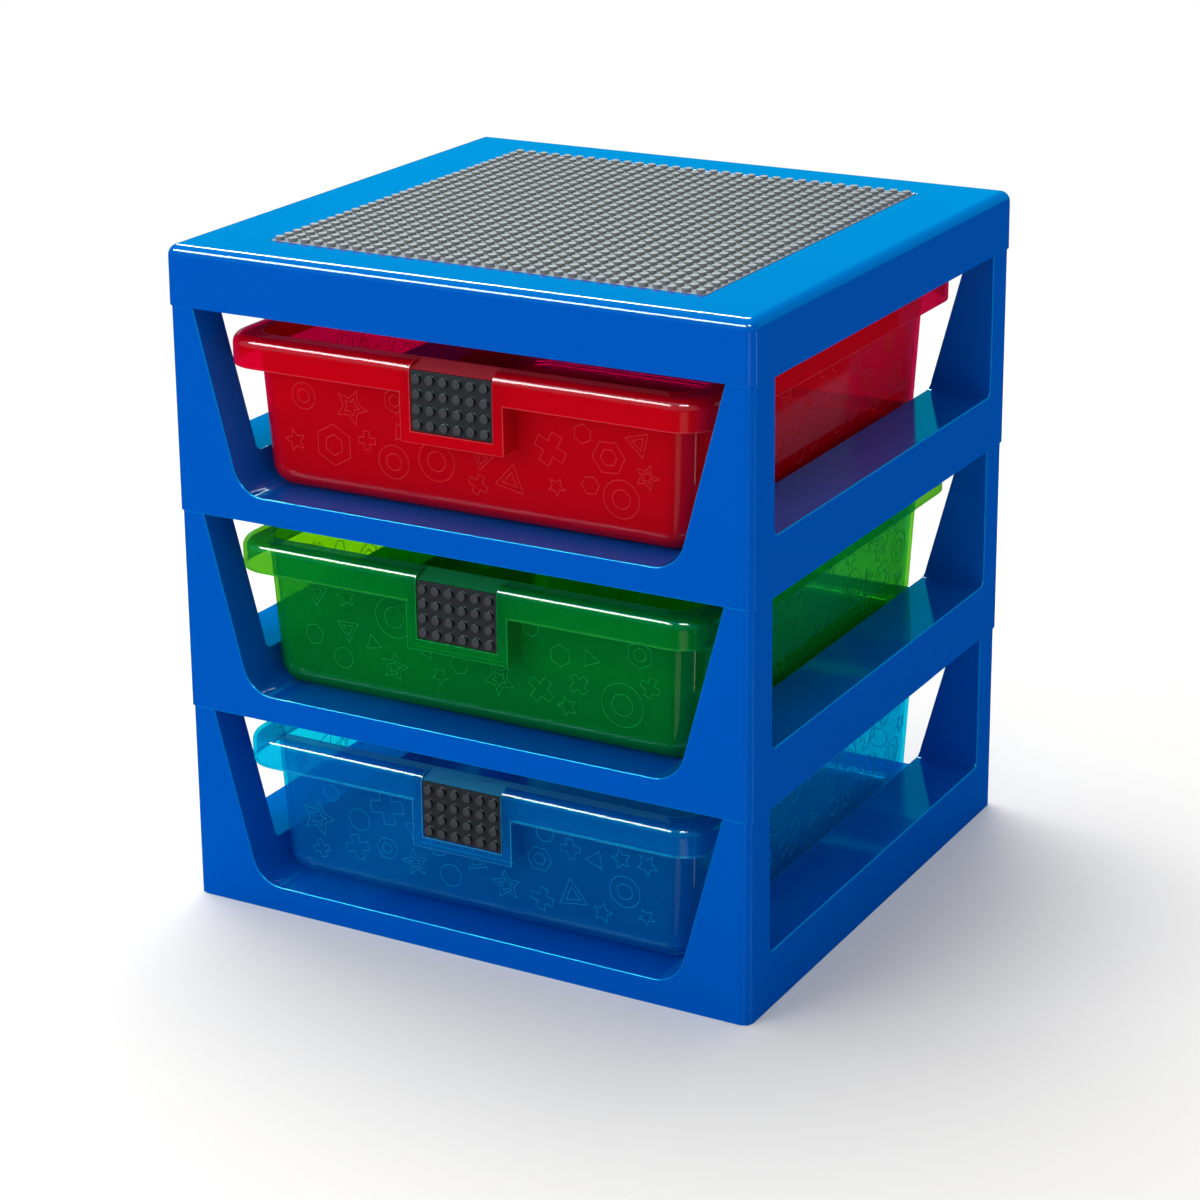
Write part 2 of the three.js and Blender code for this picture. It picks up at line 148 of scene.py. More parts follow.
class Solid:
    """A closed mesh in the making, which can be cut, joined and rounded."""

    def __init__(self, points: Sequence[Point], faces: Sequence[Sequence[int]]) -> None:
        """Makes the solid.

        Args:
            points: Its corners.
            faces: The corners of each face.
        """
        mesh = bpy.data.meshes.new("draft")
        mesh.from_pydata(points, [], faces)
        shape = bmesh.new()
        shape.from_mesh(mesh)
        bmesh.ops.recalc_face_normals(shape, faces=shape.faces)
        shape.to_mesh(mesh)
        shape.free()
        self.body = bpy.data.objects.new("draft", mesh)
        bpy.context.scene.collection.objects.link(self.body)

    @classmethod
    def loft(cls, rings: Sequence[Ring], steps: int) -> "Solid":
        """Skins a body over a run of rings and closes both ends.

        Args:
            rings: The rings in order.
            steps: Flat steps in each round corner.

        Returns:
            The solid.
        """
        loops = [ring.points(steps) for ring in rings]
        count = len(loops[0])
        faces = [list(range(count))]
        for low in range(0, (len(loops) - 1) * count, count):
            for i in range(count):
                following = (i + 1) % count
                faces.append([low + i, low + following, low + count + following, low + count + i])
        last = (len(loops) - 1) * count
        faces.append([last + i for i in range(count)])
        return cls([point for loop in loops for point in loop], faces)

    @classmethod
    def prism(cls, outline: Outline, axis: Axis, start: float, end: float) -> "Solid":
        """Pushes an outline along an axis.

        Args:
            outline: Points across the axis, the second of each pair being the height.
            axis: The axis to push along.
            start: Where the solid starts on it.
            end: Where the solid ends on it.

        Returns:
            The solid.
        """
        points: list[Point] = []
        for along in (start, end):
            if axis is Axis.Y:
                points.extend((across, along, up) for across, up in outline)
            else:
                points.extend((along, across, up) for across, up in outline)
        count = len(outline)
        faces = [list(range(count)), list(range(count, 2 * count))]
        faces.extend([i, (i + 1) % count, count + (i + 1) % count, count + i] for i in range(count))
        return cls(points, faces)

    @classmethod
    def block(cls, low: Point, high: Point) -> "Solid":
        """Makes a block between its lowest and highest corners."""
        outline = [(low[0], low[2]), (high[0], low[2]), (high[0], high[2]), (low[0], high[2])]
        return cls.prism(outline, Axis.Y, low[1], high[1])

    def _apply(self) -> None:
        """Makes the solid's modifiers permanent."""
        bpy.context.view_layer.update()
        seen = self.body.evaluated_get(bpy.context.evaluated_depsgraph_get())
        mesh = bpy.data.meshes.new_from_object(seen)
        self.body.modifiers.clear()
        spent = self.body.data
        self.body.data = mesh
        bpy.data.meshes.remove(spent)

    def _combine(self, other: "Solid", operation: Operation) -> "Solid":
        """Runs one boolean with another solid, which is used up.

        Args:
            other: The other solid.
            operation: What is done with it.

        Returns:
            This solid.
        """
        modifier = self.body.modifiers.new("combine", "BOOLEAN")
        modifier.operation = operation.value
        modifier.solver = "EXACT"
        modifier.object = other.body
        self._apply()
        other.discard()
        return self

    def cut(self, *others: "Solid") -> "Solid":
        """Cuts other solids out of this one.

        Args:
            others: The solids to cut out, which are used up.

        Returns:
            This solid.
        """
        for other in others:
            self._combine(other, Operation.CUT)
        return self

    def join(self, *others: "Solid") -> "Solid":
        """Joins other solids to this one.

        Args:
            others: The solids to join, which are used up.

        Returns:
            This solid.
        """
        for other in others:
            self._combine(other, Operation.JOIN)
        return self

    def keep(self, other: "Solid") -> "Solid":
        """Keeps only what lies within another solid."""
        return self._combine(other, Operation.KEEP)

    def discard(self) -> None:
        """Removes the solid from the scene."""
        mesh = self.body.data
        bpy.data.objects.remove(self.body)
        bpy.data.meshes.remove(mesh)

    def round_edges(self, width: float, chosen: Callable[[Vector], bool], steps: int = 3) -> "Solid":
        """Rounds the sharp outer edges that lie in a chosen part of the solid.

        Args:
            width: Width of the rounding.
            chosen: Says whether a point belongs to that part.
            steps: Flat steps across the rounding.

        Returns:
            The solid.
        """
        mesh = self.body.data
        shape = bmesh.new()
        shape.from_mesh(mesh)
        weight = shape.edges.layers.float.get("bevel_weight_edge")
        weight = weight or shape.edges.layers.float.new("bevel_weight_edge")
        for edge in shape.edges:
            sharp = edge.is_manifold and edge.calc_face_angle_signed() > SHARP_ANGLE
            inside = sharp and all(chosen(corner.co) for corner in edge.verts)
            edge[weight] = 1.0 if inside else 0.0
        shape.to_mesh(mesh)
        shape.free()
        modifier = self.body.modifiers.new("round", "BEVEL")
        modifier.limit_method = "WEIGHT"
        modifier.width = width
        modifier.segments = steps
        modifier.use_clamp_overlap = False
        modifier.miter_outer = "MITER_SHARP"
        self._apply()
        return self

    def finish(self, name: str) -> bpy.types.Mesh:
        """Shades the solid, turns it into metres and hands over its mesh.

        Args:
            name: Name of the mesh.

        Returns:
            The mesh, and the solid is gone from the scene.
        """
        mesh = self.body.data
        mesh.shade_smooth()
        mesh.set_sharp_from_angle(angle=SHARP_ANGLE)
        modifier = self.body.modifiers.new("normals", "WEIGHTED_NORMAL")
        modifier.keep_sharp = True
        self._apply()
        mesh = self.body.data
        mesh.transform(Matrix.Scale(MM, 4))
        mesh.name = name
        mesh.materials.clear()
        bpy.data.objects.remove(self.body)
        return mesh


def four_corners(make: Callable[[int, int], Solid]) -> list[Solid]:
    """Makes the same solid at the four corners.

    Args:
        make: Makes the solid from the sign of its X and the sign of its Y.

    Returns:
        The four solids.
    """
    return [make(sign_x, sign_y) for sign_x in (-1, 1) for sign_y in (-1, 1)]


def spread_block(low: Point, high: Point, sign_x: int, sign_y: int) -> Solid:
    """Makes a block that is mirrored to one side in X and in Y.

    Args:
        low: Its lowest corner, on the side of most X and Y.
        high: Its highest corner there.
        sign_x: 1 for the side of most X, or -1.
        sign_y: 1 for the side of most Y, or -1.

    Returns:
        The block.
    """
    xs = sorted((sign_x * low[0], sign_x * high[0]))
    ys = sorted((sign_y * low[1], sign_y * high[1]))
    return Solid.block((xs[0], ys[0], low[2]), (xs[1], ys[1], high[2]))


def mark(mesh: bpy.types.Mesh, number: int, chosen: Callable[[Vector, Vector, float], bool]) -> None:
    """Gives chosen faces of a finished mesh another of its finishes.

    Args:
        mesh: The mesh in metres.
        number: Number of the finish.
        chosen: Picks faces by their middle, normal and narrow width, in millimetres.
    """
    for face in mesh.polygons:
        corners = [mesh.vertices[i].co for i in face.vertices]
        longest = max((a - b).length for a, b in zip(corners, corners[1:] + corners[:1]))
        if chosen(face.center / MM, face.normal, face.area / longest / MM):
            face.material_index = number


def show(
    mesh: bpy.types.Mesh, name: str, finishes: Sequence["Finish"], body: str
) -> bpy.types.Object:
    """Puts a finished mesh in the scene as a piece of the rack.

    Args:
        mesh: The mesh in metres, in place.
        name: Name of the piece.
        finishes: What it is dressed in, in the order of its faces' numbers.
        body: The body that it moves with.

    Returns:
        The piece.
    """
    piece = bpy.data.objects.new(name, mesh)
    bpy.context.scene.collection.objects.link(piece)
    for finish in finishes:
        piece.data.materials.append(finish.material())
    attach(piece, body)
    log.info("%s: %d faces", name, len(mesh.polygons))
    return piece


def lifted(mesh: bpy.types.Mesh, height: float) -> bpy.types.Mesh:
    """Copies a mesh to another height.

    Args:
        mesh: The mesh in metres.
        height: How far the copy is lifted, in millimetres.

    Returns:
        The copy.
    """
    copy = mesh.copy()
    copy.transform(Matrix.Translation((0, 0, height * MM)))
    return copy


class NodePad:
    """Places and links shader nodes in one material or world."""

    def __init__(self, owner: bpy.types.Material | bpy.types.World) -> None:
        """Empties the owner's node tree.

        Args:
            owner: The material or world.
        """
        owner.use_nodes = True
        self.tree = owner.node_tree
        self.tree.nodes.clear()

    def add(self, kind: str, **inputs: object) -> bpy.types.ShaderNode:
        """Adds a node and fills its sockets.

        Args:
            kind: Type of the node.
            inputs: Values or sockets, named as the node's inputs with _ for a space.

        Returns:
            The node.
        """
        node = self.tree.nodes.new(kind)
        for name, value in inputs.items():
            socket = node.inputs[name.replace("_", " ")]
            if isinstance(value, bpy.types.NodeSocket):
                self.tree.links.new(value, socket)
            else:
                socket.default_value = value
        return node

    def noise(self, scale: float, detail: float = 2.0) -> bpy.types.NodeSocket:
        """Adds a noise that is fixed to the object.

        Args:
            scale: Its waves in a metre.
            detail: How many layers of finer waves it has.

        Returns:
            Its value.
        """
        place = self.add("ShaderNodeTexCoord").outputs["Object"]
        node = self.add("ShaderNodeTexNoise", Vector=place, Scale=scale, Detail=detail)
        return node.outputs["Factor" if "Factor" in node.outputs else "Fac"]

    def between(self, share: bpy.types.NodeSocket, low: float, high: float) -> bpy.types.NodeSocket:
        """Spreads a share from 0 to 1 over a range."""
        node = self.add("ShaderNodeMapRange", Value=share, To_Min=low, To_Max=high)
        return node.outputs["Result"]

    def blend(self, share: bpy.types.NodeSocket, first: Tone, second: Tone) -> bpy.types.NodeSocket:
        """Mixes two colours, or sockets that give them, by a share.

        Args:
            share: How much of the second is taken.
            first: The first colour.
            second: The second colour.

        Returns:
            The mixed colour.
        """
        node = self.tree.nodes.new("ShaderNodeMix")
        node.data_type = "RGBA"
        self.tree.links.new(share, node.inputs["Factor"])
        for socket, tone in ((node.inputs[MIX_FIRST], first), (node.inputs[MIX_SECOND], second)):
            if isinstance(tone, bpy.types.NodeSocket):
                self.tree.links.new(tone, socket)
            else:
                socket.default_value = tone
        return node.outputs[MIX_RESULT]

    def bump(self, height: bpy.types.NodeSocket, strength: float, depth: float) -> bpy.types.NodeSocket:
        """Turns a height into a bumped normal."""
        node = self.add("ShaderNodeBump", Height=height, Strength=strength, Distance=depth)
        return node.outputs["Normal"]

    def math(self, operation: str, *terms: bpy.types.NodeSocket | float) -> bpy.types.NodeSocket:
        """Works out one value from others.

        Args:
            operation: Name of the sum.
            terms: Sockets or numbers.

        Returns:
            The result.
        """
        node = self.tree.nodes.new("ShaderNodeMath")
        node.operation = operation
        for socket, term in zip(node.inputs, terms):
            if isinstance(term, bpy.types.NodeSocket):
                self.tree.links.new(term, socket)
            else:
                socket.default_value = term
        return node.outputs[0]

    def edge(self, value: bpy.types.NodeSocket, none: float, full: float) -> bpy.types.NodeSocket:
        """Turns a value into a share that starts and ends smoothly.

        Args:
            value: The value.
            none: Where it gives 0.
            full: Where it gives 1.

        Returns:
            What it gives.
        """
        node = self.add("ShaderNodeMapRange", Value=value, From_Min=none, From_Max=full)
        node.interpolation_type = "SMOOTHSTEP"
        return node.outputs["Result"]

    def layer(
        self, share: bpy.types.NodeSocket | float, first: bpy.types.NodeSocket, second: bpy.types.NodeSocket
    ) -> bpy.types.NodeSocket:
        """Mixes two shaders by a share.

        Args:
            share: How much of the second is taken.
            first: The first shader.
            second: The second shader.

        Returns:
            The mixed shader.
        """
        node = self.add("ShaderNodeMixShader", Fac=share)
        for socket, shader in zip(node.inputs[1:], (first, second)):
            self.tree.links.new(shader, socket)
        return node.outputs["Shader"]

    def output(self, surface: bpy.types.NodeSocket) -> None:
        """Links the finished surface to the material's output."""
        self.add("ShaderNodeOutputMaterial", Surface=surface)


def shaded(colour: Colour, share: float) -> Colour:
    """Makes a colour darker or lighter by a share."""
    return (colour[0] * share, colour[1] * share, colour[2] * share, 1.0)


@dataclass(frozen=True)
class Finish:
    """A moulded plastic with a soft orange peel and slightly uneven gloss.

    Args:
        name: Name of the material.
        colour: Its main colour.
        gloss_low: Roughness where it shines most.
        gloss_high: Roughness where it shines least.
        gloss_tint: Colour of its reflections seen straight on.
        gloss_level: How strongly it reflects, with 0.5 for a usual plastic.
        index: Its refractive index.
        peel_size: Waves of the orange peel in a metre.
        peel_depth: Depth of the orange peel in metres.
        peel_share: Strength of the orange peel.
        grain_size: Specks of the grain in a metre.
        grain_share: Strength of the grain.
        shade_share: How much of the colour is left at its darkest.
        grain_depth: Depth of the grain in metres.
        cloud_size: Waves of the shading in a metre.
        gloss_size: Waves of the uneven gloss in a metre.
        gloss_detail: Finer waves in the uneven gloss.
        peel_detail: Finer waves in the orange peel.
    """

    name: str
    colour: Colour
    gloss_low: float = 0.06
    gloss_high: float = 0.1
    gloss_tint: Colour = (1.0, 1.0, 1.0, 1.0)
    gloss_level: float = 0.5
    index: float = 1.5
    peel_size: float = 70.0
    peel_depth: float = 0.0001
    peel_share: float = 0.05
    grain_size: float = 2500.0
    grain_share: float = 0.0
    shade_share: float = 0.94
    grain_depth: float = 0.0001
    cloud_size: float = 9.0
    gloss_size: float = 38.0
    gloss_detail: float = 3.0
    peel_detail: float = 1.0

    def plastic(self, pad: NodePad) -> bpy.types.ShaderNode:
        """Adds the plastic's main shader.

        Args:
            pad: The material's nodes.

        Returns:
            The shader node.
        """
        cloud = pad.noise(self.cloud_size)
        colour = pad.blend(cloud, self.colour, shaded(self.colour, self.shade_share))
        unevenness = pad.noise(self.gloss_size, self.gloss_detail)
        gloss = pad.between(unevenness, self.gloss_low, self.gloss_high)
        peel = pad.noise(self.peel_size, self.peel_detail)
        normal = pad.bump(peel, self.peel_share, self.peel_depth)
        if self.grain_share:
            grain = pad.noise(self.grain_size)
            grained = pad.add(
                "ShaderNodeBump",
                Height=grain,
                Strength=self.grain_share,
                Distance=self.grain_depth,
                Normal=normal,
            )
            normal = grained.outputs["Normal"]
        return pad.add(
            "ShaderNodeBsdfPrincipled",
            Base_Color=colour,
            Roughness=gloss,
            IOR=self.index,
            Specular_IOR_Level=self.gloss_level,
            Specular_Tint=self.gloss_tint,
            Normal=normal,
        )

    def surface(self, pad: NodePad) -> bpy.types.NodeSocket:
        """Returns the finished surface."""
        return self.plastic(pad).outputs["BSDF"]

    def material(self) -> bpy.types.Material:
        """Makes the material, or finds it where it is already made.

        Returns:
            The material.
        """
        found = bpy.data.materials.get(self.name)
        if found:
            return found
        material = bpy.data.materials.new(self.name)
        pad = NodePad(material)
        pad.output(self.surface(pad))
        return material


@dataclass(frozen=True)
class SeeThrough(Finish):
    """A moulded plastic that lets tinted light through.

    Args:
        tint: Colour of the light that one skin of a wall lets through.
        opacity: Share of the light that one skin of a wall stops.
    """

    tint: Colour = (1.0, 1.0, 1.0, 1.0)
    opacity: float = 0.5

    def surface(self, pad: NodePad) -> bpy.types.NodeSocket:
        """Mixes the plastic with clear tinted light."""
        clear = pad.add("ShaderNodeBsdfTransparent", Color=self.tint).outputs["BSDF"]
        return pad.layer(self.opacity, clear, self.plastic(pad).outputs["BSDF"])


LID_BLUE = Finish(
    "lid_blue_gloss", (0.0, 0.1, 0.55, 1.0), gloss_low=0.05, gloss_high=0.08, gloss_tint=(0.7, 0.92, 1.0, 1.0)
)
FRAME_BLUE = Finish(
    "frame_blue_gloss",
    (0.0, 0.1, 0.55, 1.0),
    gloss_low=0.05,
    gloss_high=0.08,
    gloss_tint=(0.2, 0.8, 1.0, 1.0),
    gloss_level=0.3,
)
# Lighter, glossier copy of the frame's blue for its narrow rounded edges: a painted highlight
FRAME_EDGE_PAINTED_HIGHLIGHT = Finish(
    "frame_blue_edge_painted_highlight",
    (0.0, 0.2, 0.7, 1.0),
    gloss_low=0.08,
    gloss_high=0.12,
    gloss_tint=(0.05, 0.8, 1.0, 1.0),
    gloss_level=0.7,
    index=1.9,
)
PLATE_GREY = Finish(
    "plate_grey_satin",
    (0.275, 0.272, 0.27, 1.0),
    gloss_level=0.12,
    gloss_low=0.4,
    gloss_high=0.5,
    grain_share=0.1,
)
# Darker copy of the plate's grey for its flat face between the studs: painted shade
PLATE_PAINTED_SHADE = replace(PLATE_GREY, name="plate_grey_painted_shade_between_studs", colour=(0.16, 0.165, 0.18, 1.0))
PAD_BLACK = Finish(
    "pad_black_satin", (0.026, 0.026, 0.031, 1.0), gloss_low=0.3, gloss_high=0.4, grain_share=0.15
)
# Near-black copy of the pad for the studs' sides: painted shade
PAD_STUD_WALL_PAINTED_SHADE = replace(
    PAD_BLACK, name="pad_black_stud_wall_painted_shade", colour=(0.003, 0.003, 0.004, 1.0), gloss_level=0.1
)
# Lighter copy of the pad for the studs' tops: painted highlight
PAD_STUD_TOP_PAINTED_LIGHT = replace(PAD_BLACK, name="pad_black_stud_top_painted_light", colour=(0.052, 0.052, 0.06, 1.0))


@dataclass(frozen=True)
class DrawerColour:
    """The finishes of one drawer and its place in the stack.

    Args:
        place: Name of its place in the stack.
        slot: Name that starts the names of its edge, inside and relief materials.
        moulding: Finish of the moulding.
        edge_highlight_colour: Lighter colour of its edges and its notch, a painted highlight where the light
            gathers.
        inner_painted_light_colour: Brighter colour of its inside, painted light that stands in for the light
            inside the tray.
        relief_colour: Colour of the raised outlines on its walls.
        edge_opacity: Opacity of its edges.
        inner_opacity: Opacity of its inside.
    """

    place: str
    slot: str
    moulding: SeeThrough
    edge_highlight_colour: Colour
    inner_painted_light_colour: Colour
    relief_colour: Colour
    edge_opacity: float = 0.6
    inner_opacity: float = 0.2

    def tray_finishes(self) -> list[SeeThrough]:
        """The finishes of the moulding, of its edges with their painted highlight and of its inside with its
        painted light.

        Returns:
            The three finishes, in the order of the faces' numbers.
        """
        # The edges and the notch take a lighter copy of the moulding: a painted highlight
        edge = replace(
            self.moulding, name=f"{self.slot}_edge", colour=self.edge_highlight_colour, opacity=self.edge_opacity
        )
        # The inside takes a brighter copy of the moulding: painted light
        inside = replace(
            self.moulding, name=f"{self.slot}_inside", colour=self.inner_painted_light_colour, opacity=self.inner_opacity
        )
        return [self.moulding, edge, inside]

    def relief_finish(self) -> SeeThrough:
        """The finish of the raised outlines.

        Returns:
            A matter finish in the moulding's tint.
        """
        return SeeThrough(
            f"{self.slot}_relief",
            self.relief_colour,
            tint=self.moulding.tint,
            opacity=0.6,
            gloss_level=0.2,
            gloss_low=0.25,
            gloss_high=0.35,
        )


DRAWER_COLOURS = (
    DrawerColour(
        "bottom",
        "drawer_blue",
        SeeThrough(
            "drawer_blue_clear", (0.0, 0.19, 0.6, 1.0), index=2.0, tint=(0.06, 0.9, 1.0, 1.0), opacity=0.3
        ),
        edge_highlight_colour=(0.05, 0.42, 0.62, 1.0),
        inner_painted_light_colour=(0.0, 0.45, 0.7, 1.0),
        relief_colour=(0.0, 0.33, 0.66, 1.0),
        inner_opacity=0.12,
    ),
    DrawerColour(
        "middle",
        "drawer_green",
        SeeThrough(
            "drawer_green_clear", (0.0, 0.25, 0.04, 1.0), index=1.8, tint=(0.5, 0.95, 0.06, 1.0), opacity=0.45
        ),
        edge_highlight_colour=(0.02, 0.38, 0.12, 1.0),
        inner_painted_light_colour=(0.12, 0.5, 0.0, 1.0),
        relief_colour=(0.01, 0.36, 0.1, 1.0),
    ),
    DrawerColour(
        "top",
        "drawer_red",
        SeeThrough(
            "drawer_red_clear", (0.72, 0.0, 0.01, 1.0), index=1.6, tint=(0.97, 0.0, 0.3, 1.0), opacity=0.55
        ),
        edge_highlight_colour=(0.85, 0.07, 0.09, 1.0),
        inner_painted_light_colour=(0.75, 0.0, 0.02, 1.0),
        relief_colour=(0.82, 0.045, 0.055, 1.0),
        inner_opacity=0.35,
    ),
)


@dataclass
class RackShell:
    """What the frames and the table top have in common: the outline, the walls and the ribs."""

    width: float
    depth: float
    height: float
    wall: float = 2.5
    corner_radius: float = 6.2
    fit_gap: float = 0.3
    overrun: float = 5.0
    post_top_width: float = 16.5
    side_margin: float = 24.0
    rib_wall: float = 2.0
    rib_spacing: float = 72.0
    socket_gap: float = 0.4
    corner_steps: int = 10

    @property
    def head_half(self) -> float:
        """Half of the window's width at the top."""
        return self.width / 2 - self.post_top_width

    @property
    def side_half(self) -> float:
        """Half of the side window's width."""
        return self.depth / 2 - self.side_margin

    def ring(self, inset: float, z: float) -> Ring:
        """A ring of the outline, drawn in from its full size."""
        radius = max(self.corner_radius - inset, self.fit_gap)
        return Ring(self.width / 2 - inset, self.depth / 2 - inset, radius, z)

    def cross_ribs(self, reach_x: float, reach_y: float, low: float, high: float) -> list[Solid]:
        """Crossed ribs that hang from a floor.

        Args:
            reach_x: Half of their length along X.
            reach_y: Half of their length along Y.
            low: Their lowest height.
            high: Their highest height.

        Returns:
            The ribs.
        """
        ribs = []
        for place in (-1, 0, 1):
            near = place * self.rib_spacing - self.rib_wall / 2
            far = near + self.rib_wall
            ribs.append(Solid.block((near, -reach_y, low), (far, reach_y, high)))
            ribs.append(Solid.block((-reach_x, near, low), (reach_x, far, high)))
        return ribs

    def socket_ribs(self, top: float) -> list[Solid]:
        """Ribs that box in the post tops of the frame below.

        Args:
            top: Height that they reach up to.

        Returns:
            The ribs.
        """
        inner_x = self.head_half - self.socket_gap
        inner_y = self.side_half - self.socket_gap
        outer_x = self.width / 2 - self.wall / 2
        outer_y = self.depth / 2 - self.wall / 2
        foot = (inner_x - self.rib_wall, inner_y - self.rib_wall, self.rib_wall)
        ribs = four_corners(lambda sx, sy: spread_block(foot, (inner_x, outer_y, top), sx, sy))
        return ribs + four_corners(lambda sx, sy: spread_block(foot, (outer_x, inner_y, top), sx, sy))


@dataclass
class TierFrame(RackShell):
    """One open frame of the stack: a floor between two ledges, four hollow posts and a skirt."""

    height: float = 113.0
    seam_step: float = 1.0
    sill_height: float = 14.5
    ledge_height: float = 32.0
    ledge_width: float = 37.5
    arc_radius: float = 18.5
    side_fillet: float = 4.0
    plug_height: float = 9.0
    rib_depth: float = 8.0
    edge_round: float = 0.6
    edge_width: float = 0.45
    arc_steps: int = 22
    fillet_steps: int = 8

    @property
    def foot_half(self) -> float:
        """Half of the window's width at the ledge."""
        return self.width / 2 - self.ledge_width

    def window(self, grow: float) -> Solid:
        """The drawer window: open above, leaning sides, and arcs down to a flat sill.

        Args:
            grow: How far it is grown on all sides.

        Returns:
            The solid to cut.
        """
        lean = (self.head_half - self.foot_half) / (self.height - self.ledge_height)
        length = math.hypot(1, lean)
        normal_x = 1 / length
        normal_z = -lean / length
        reach = normal_x * self.foot_half + normal_z * self.ledge_height
        centre_z = self.sill_height + self.arc_radius
        centre_x = (reach - self.arc_radius - normal_z * centre_z) / normal_x
        top_z = self.height + self.plug_height + self.overrun
        top_x = (reach + grow - normal_z * top_z) / normal_x
        tilt = math.atan2(normal_z, normal_x)
        radius = self.arc_radius + grow
        left = arc((-centre_x, centre_z), radius, math.pi - tilt, 3 * math.pi / 2, self.arc_steps)
        right = arc((centre_x, centre_z), radius, -math.pi / 2, tilt, self.arc_steps)
        outline = [(top_x, top_z), (-top_x, top_z), *left, *right]
        reach_y = self.depth / 2 + self.overrun
        return Solid.prism(outline, Axis.Y, -reach_y, reach_y)

    def side_window(self, grow: float) -> Solid:
        """The side window: a flat ledge below, a small fillet at each foot, open above.

        Args:
            grow: How far it is grown on all sides.

        Returns:
            The solid to cut.
        """
        half = self.side_half + grow
        low = self.ledge_height - grow
        radius = self.side_fillet + grow
        top = self.height + self.plug_height + self.overrun
        left = arc((-half + radius, low + radius), radius, math.pi, 3 * math.pi / 2, self.fillet_steps)
        right = arc((half - radius, low + radius), radius, -math.pi / 2, 0, self.fillet_steps)
        reach_x = self.width / 2 + self.overrun
        return Solid.prism([(half, top), (-half, top), *left, *right], Axis.X, -reach_x, reach_x)

    def mesh(self) -> bpy.types.Mesh:
        """Builds the frame on its own, standing at height zero.

        Returns:
            The mesh in metres.
        """
        steps = self.corner_steps
        plug_low = self.height - self.plug_height
        plug_high = self.height + self.plug_height
        plug_inset = self.wall + self.fit_gap
        shell = Solid.loft([self.ring(0, 0), self.ring(self.seam_step, self.height)], steps)
        shell.join(Solid.loft([self.ring(plug_inset, plug_low), self.ring(plug_inset, plug_high)], steps))
        shell.cut(self.window(0), self.side_window(0))
        room_rings = [self.ring(self.wall, -self.overrun)]
        room_rings.append(self.ring(self.wall + self.seam_step, self.height - self.wall))
        room = Solid.loft(room_rings, steps)
        inner = plug_inset + self.wall
        room.join(Solid.loft([self.ring(inner, plug_low), self.ring(inner, plug_high - self.wall)], steps))
        room.cut(self.window(self.wall), self.side_window(self.wall))
        shell.cut(room)
        underside = self.sill_height - self.wall
        rib_low = underside - self.rib_depth
        rib_high = underside + self.wall / 2
        reach_x = self.foot_half - self.arc_radius
        shell.join(*self.cross_ribs(reach_x, self.depth / 2 - self.wall / 2, rib_low, rib_high))
        shell.join(*self.socket_ribs(self.ledge_height - self.wall / 2))
        shell.round_edges(self.edge_round, self.in_sight)
        mesh = shell.finish("tier")
        # The narrow rounded edges take the lighter blue, a painted highlight
        mark(mesh, SECOND_FINISH, lambda middle, normal, width: width < self.edge_width)
        return mesh

    def in_sight(self, point: Vector) -> bool:
        """Tells the outer skin, whose edges are rounded, from the hollow inside.

        Args:
            point: A corner of the frame.

        Returns:
            Whether it is on the outer skin.
        """
        below_plug = point.z < self.height + self.fit_gap
        skin_x = self.width / 2 - self.seam_step - self.fit_gap
        skin_y = self.depth / 2 - self.seam_step - self.fit_gap
        on_skin = abs(point.x) > skin_x or abs(point.y) > skin_y
        on_ledge = point.z > self.ledge_height - self.fit_gap and self.on_web(point)
        return below_plug and (on_skin or on_ledge)

    def on_web(self, point: Vector) -> bool:
        """Tells the edge between the side window and the drawer's channel."""
        return abs(point.y) < self.side_half + self.fit_gap


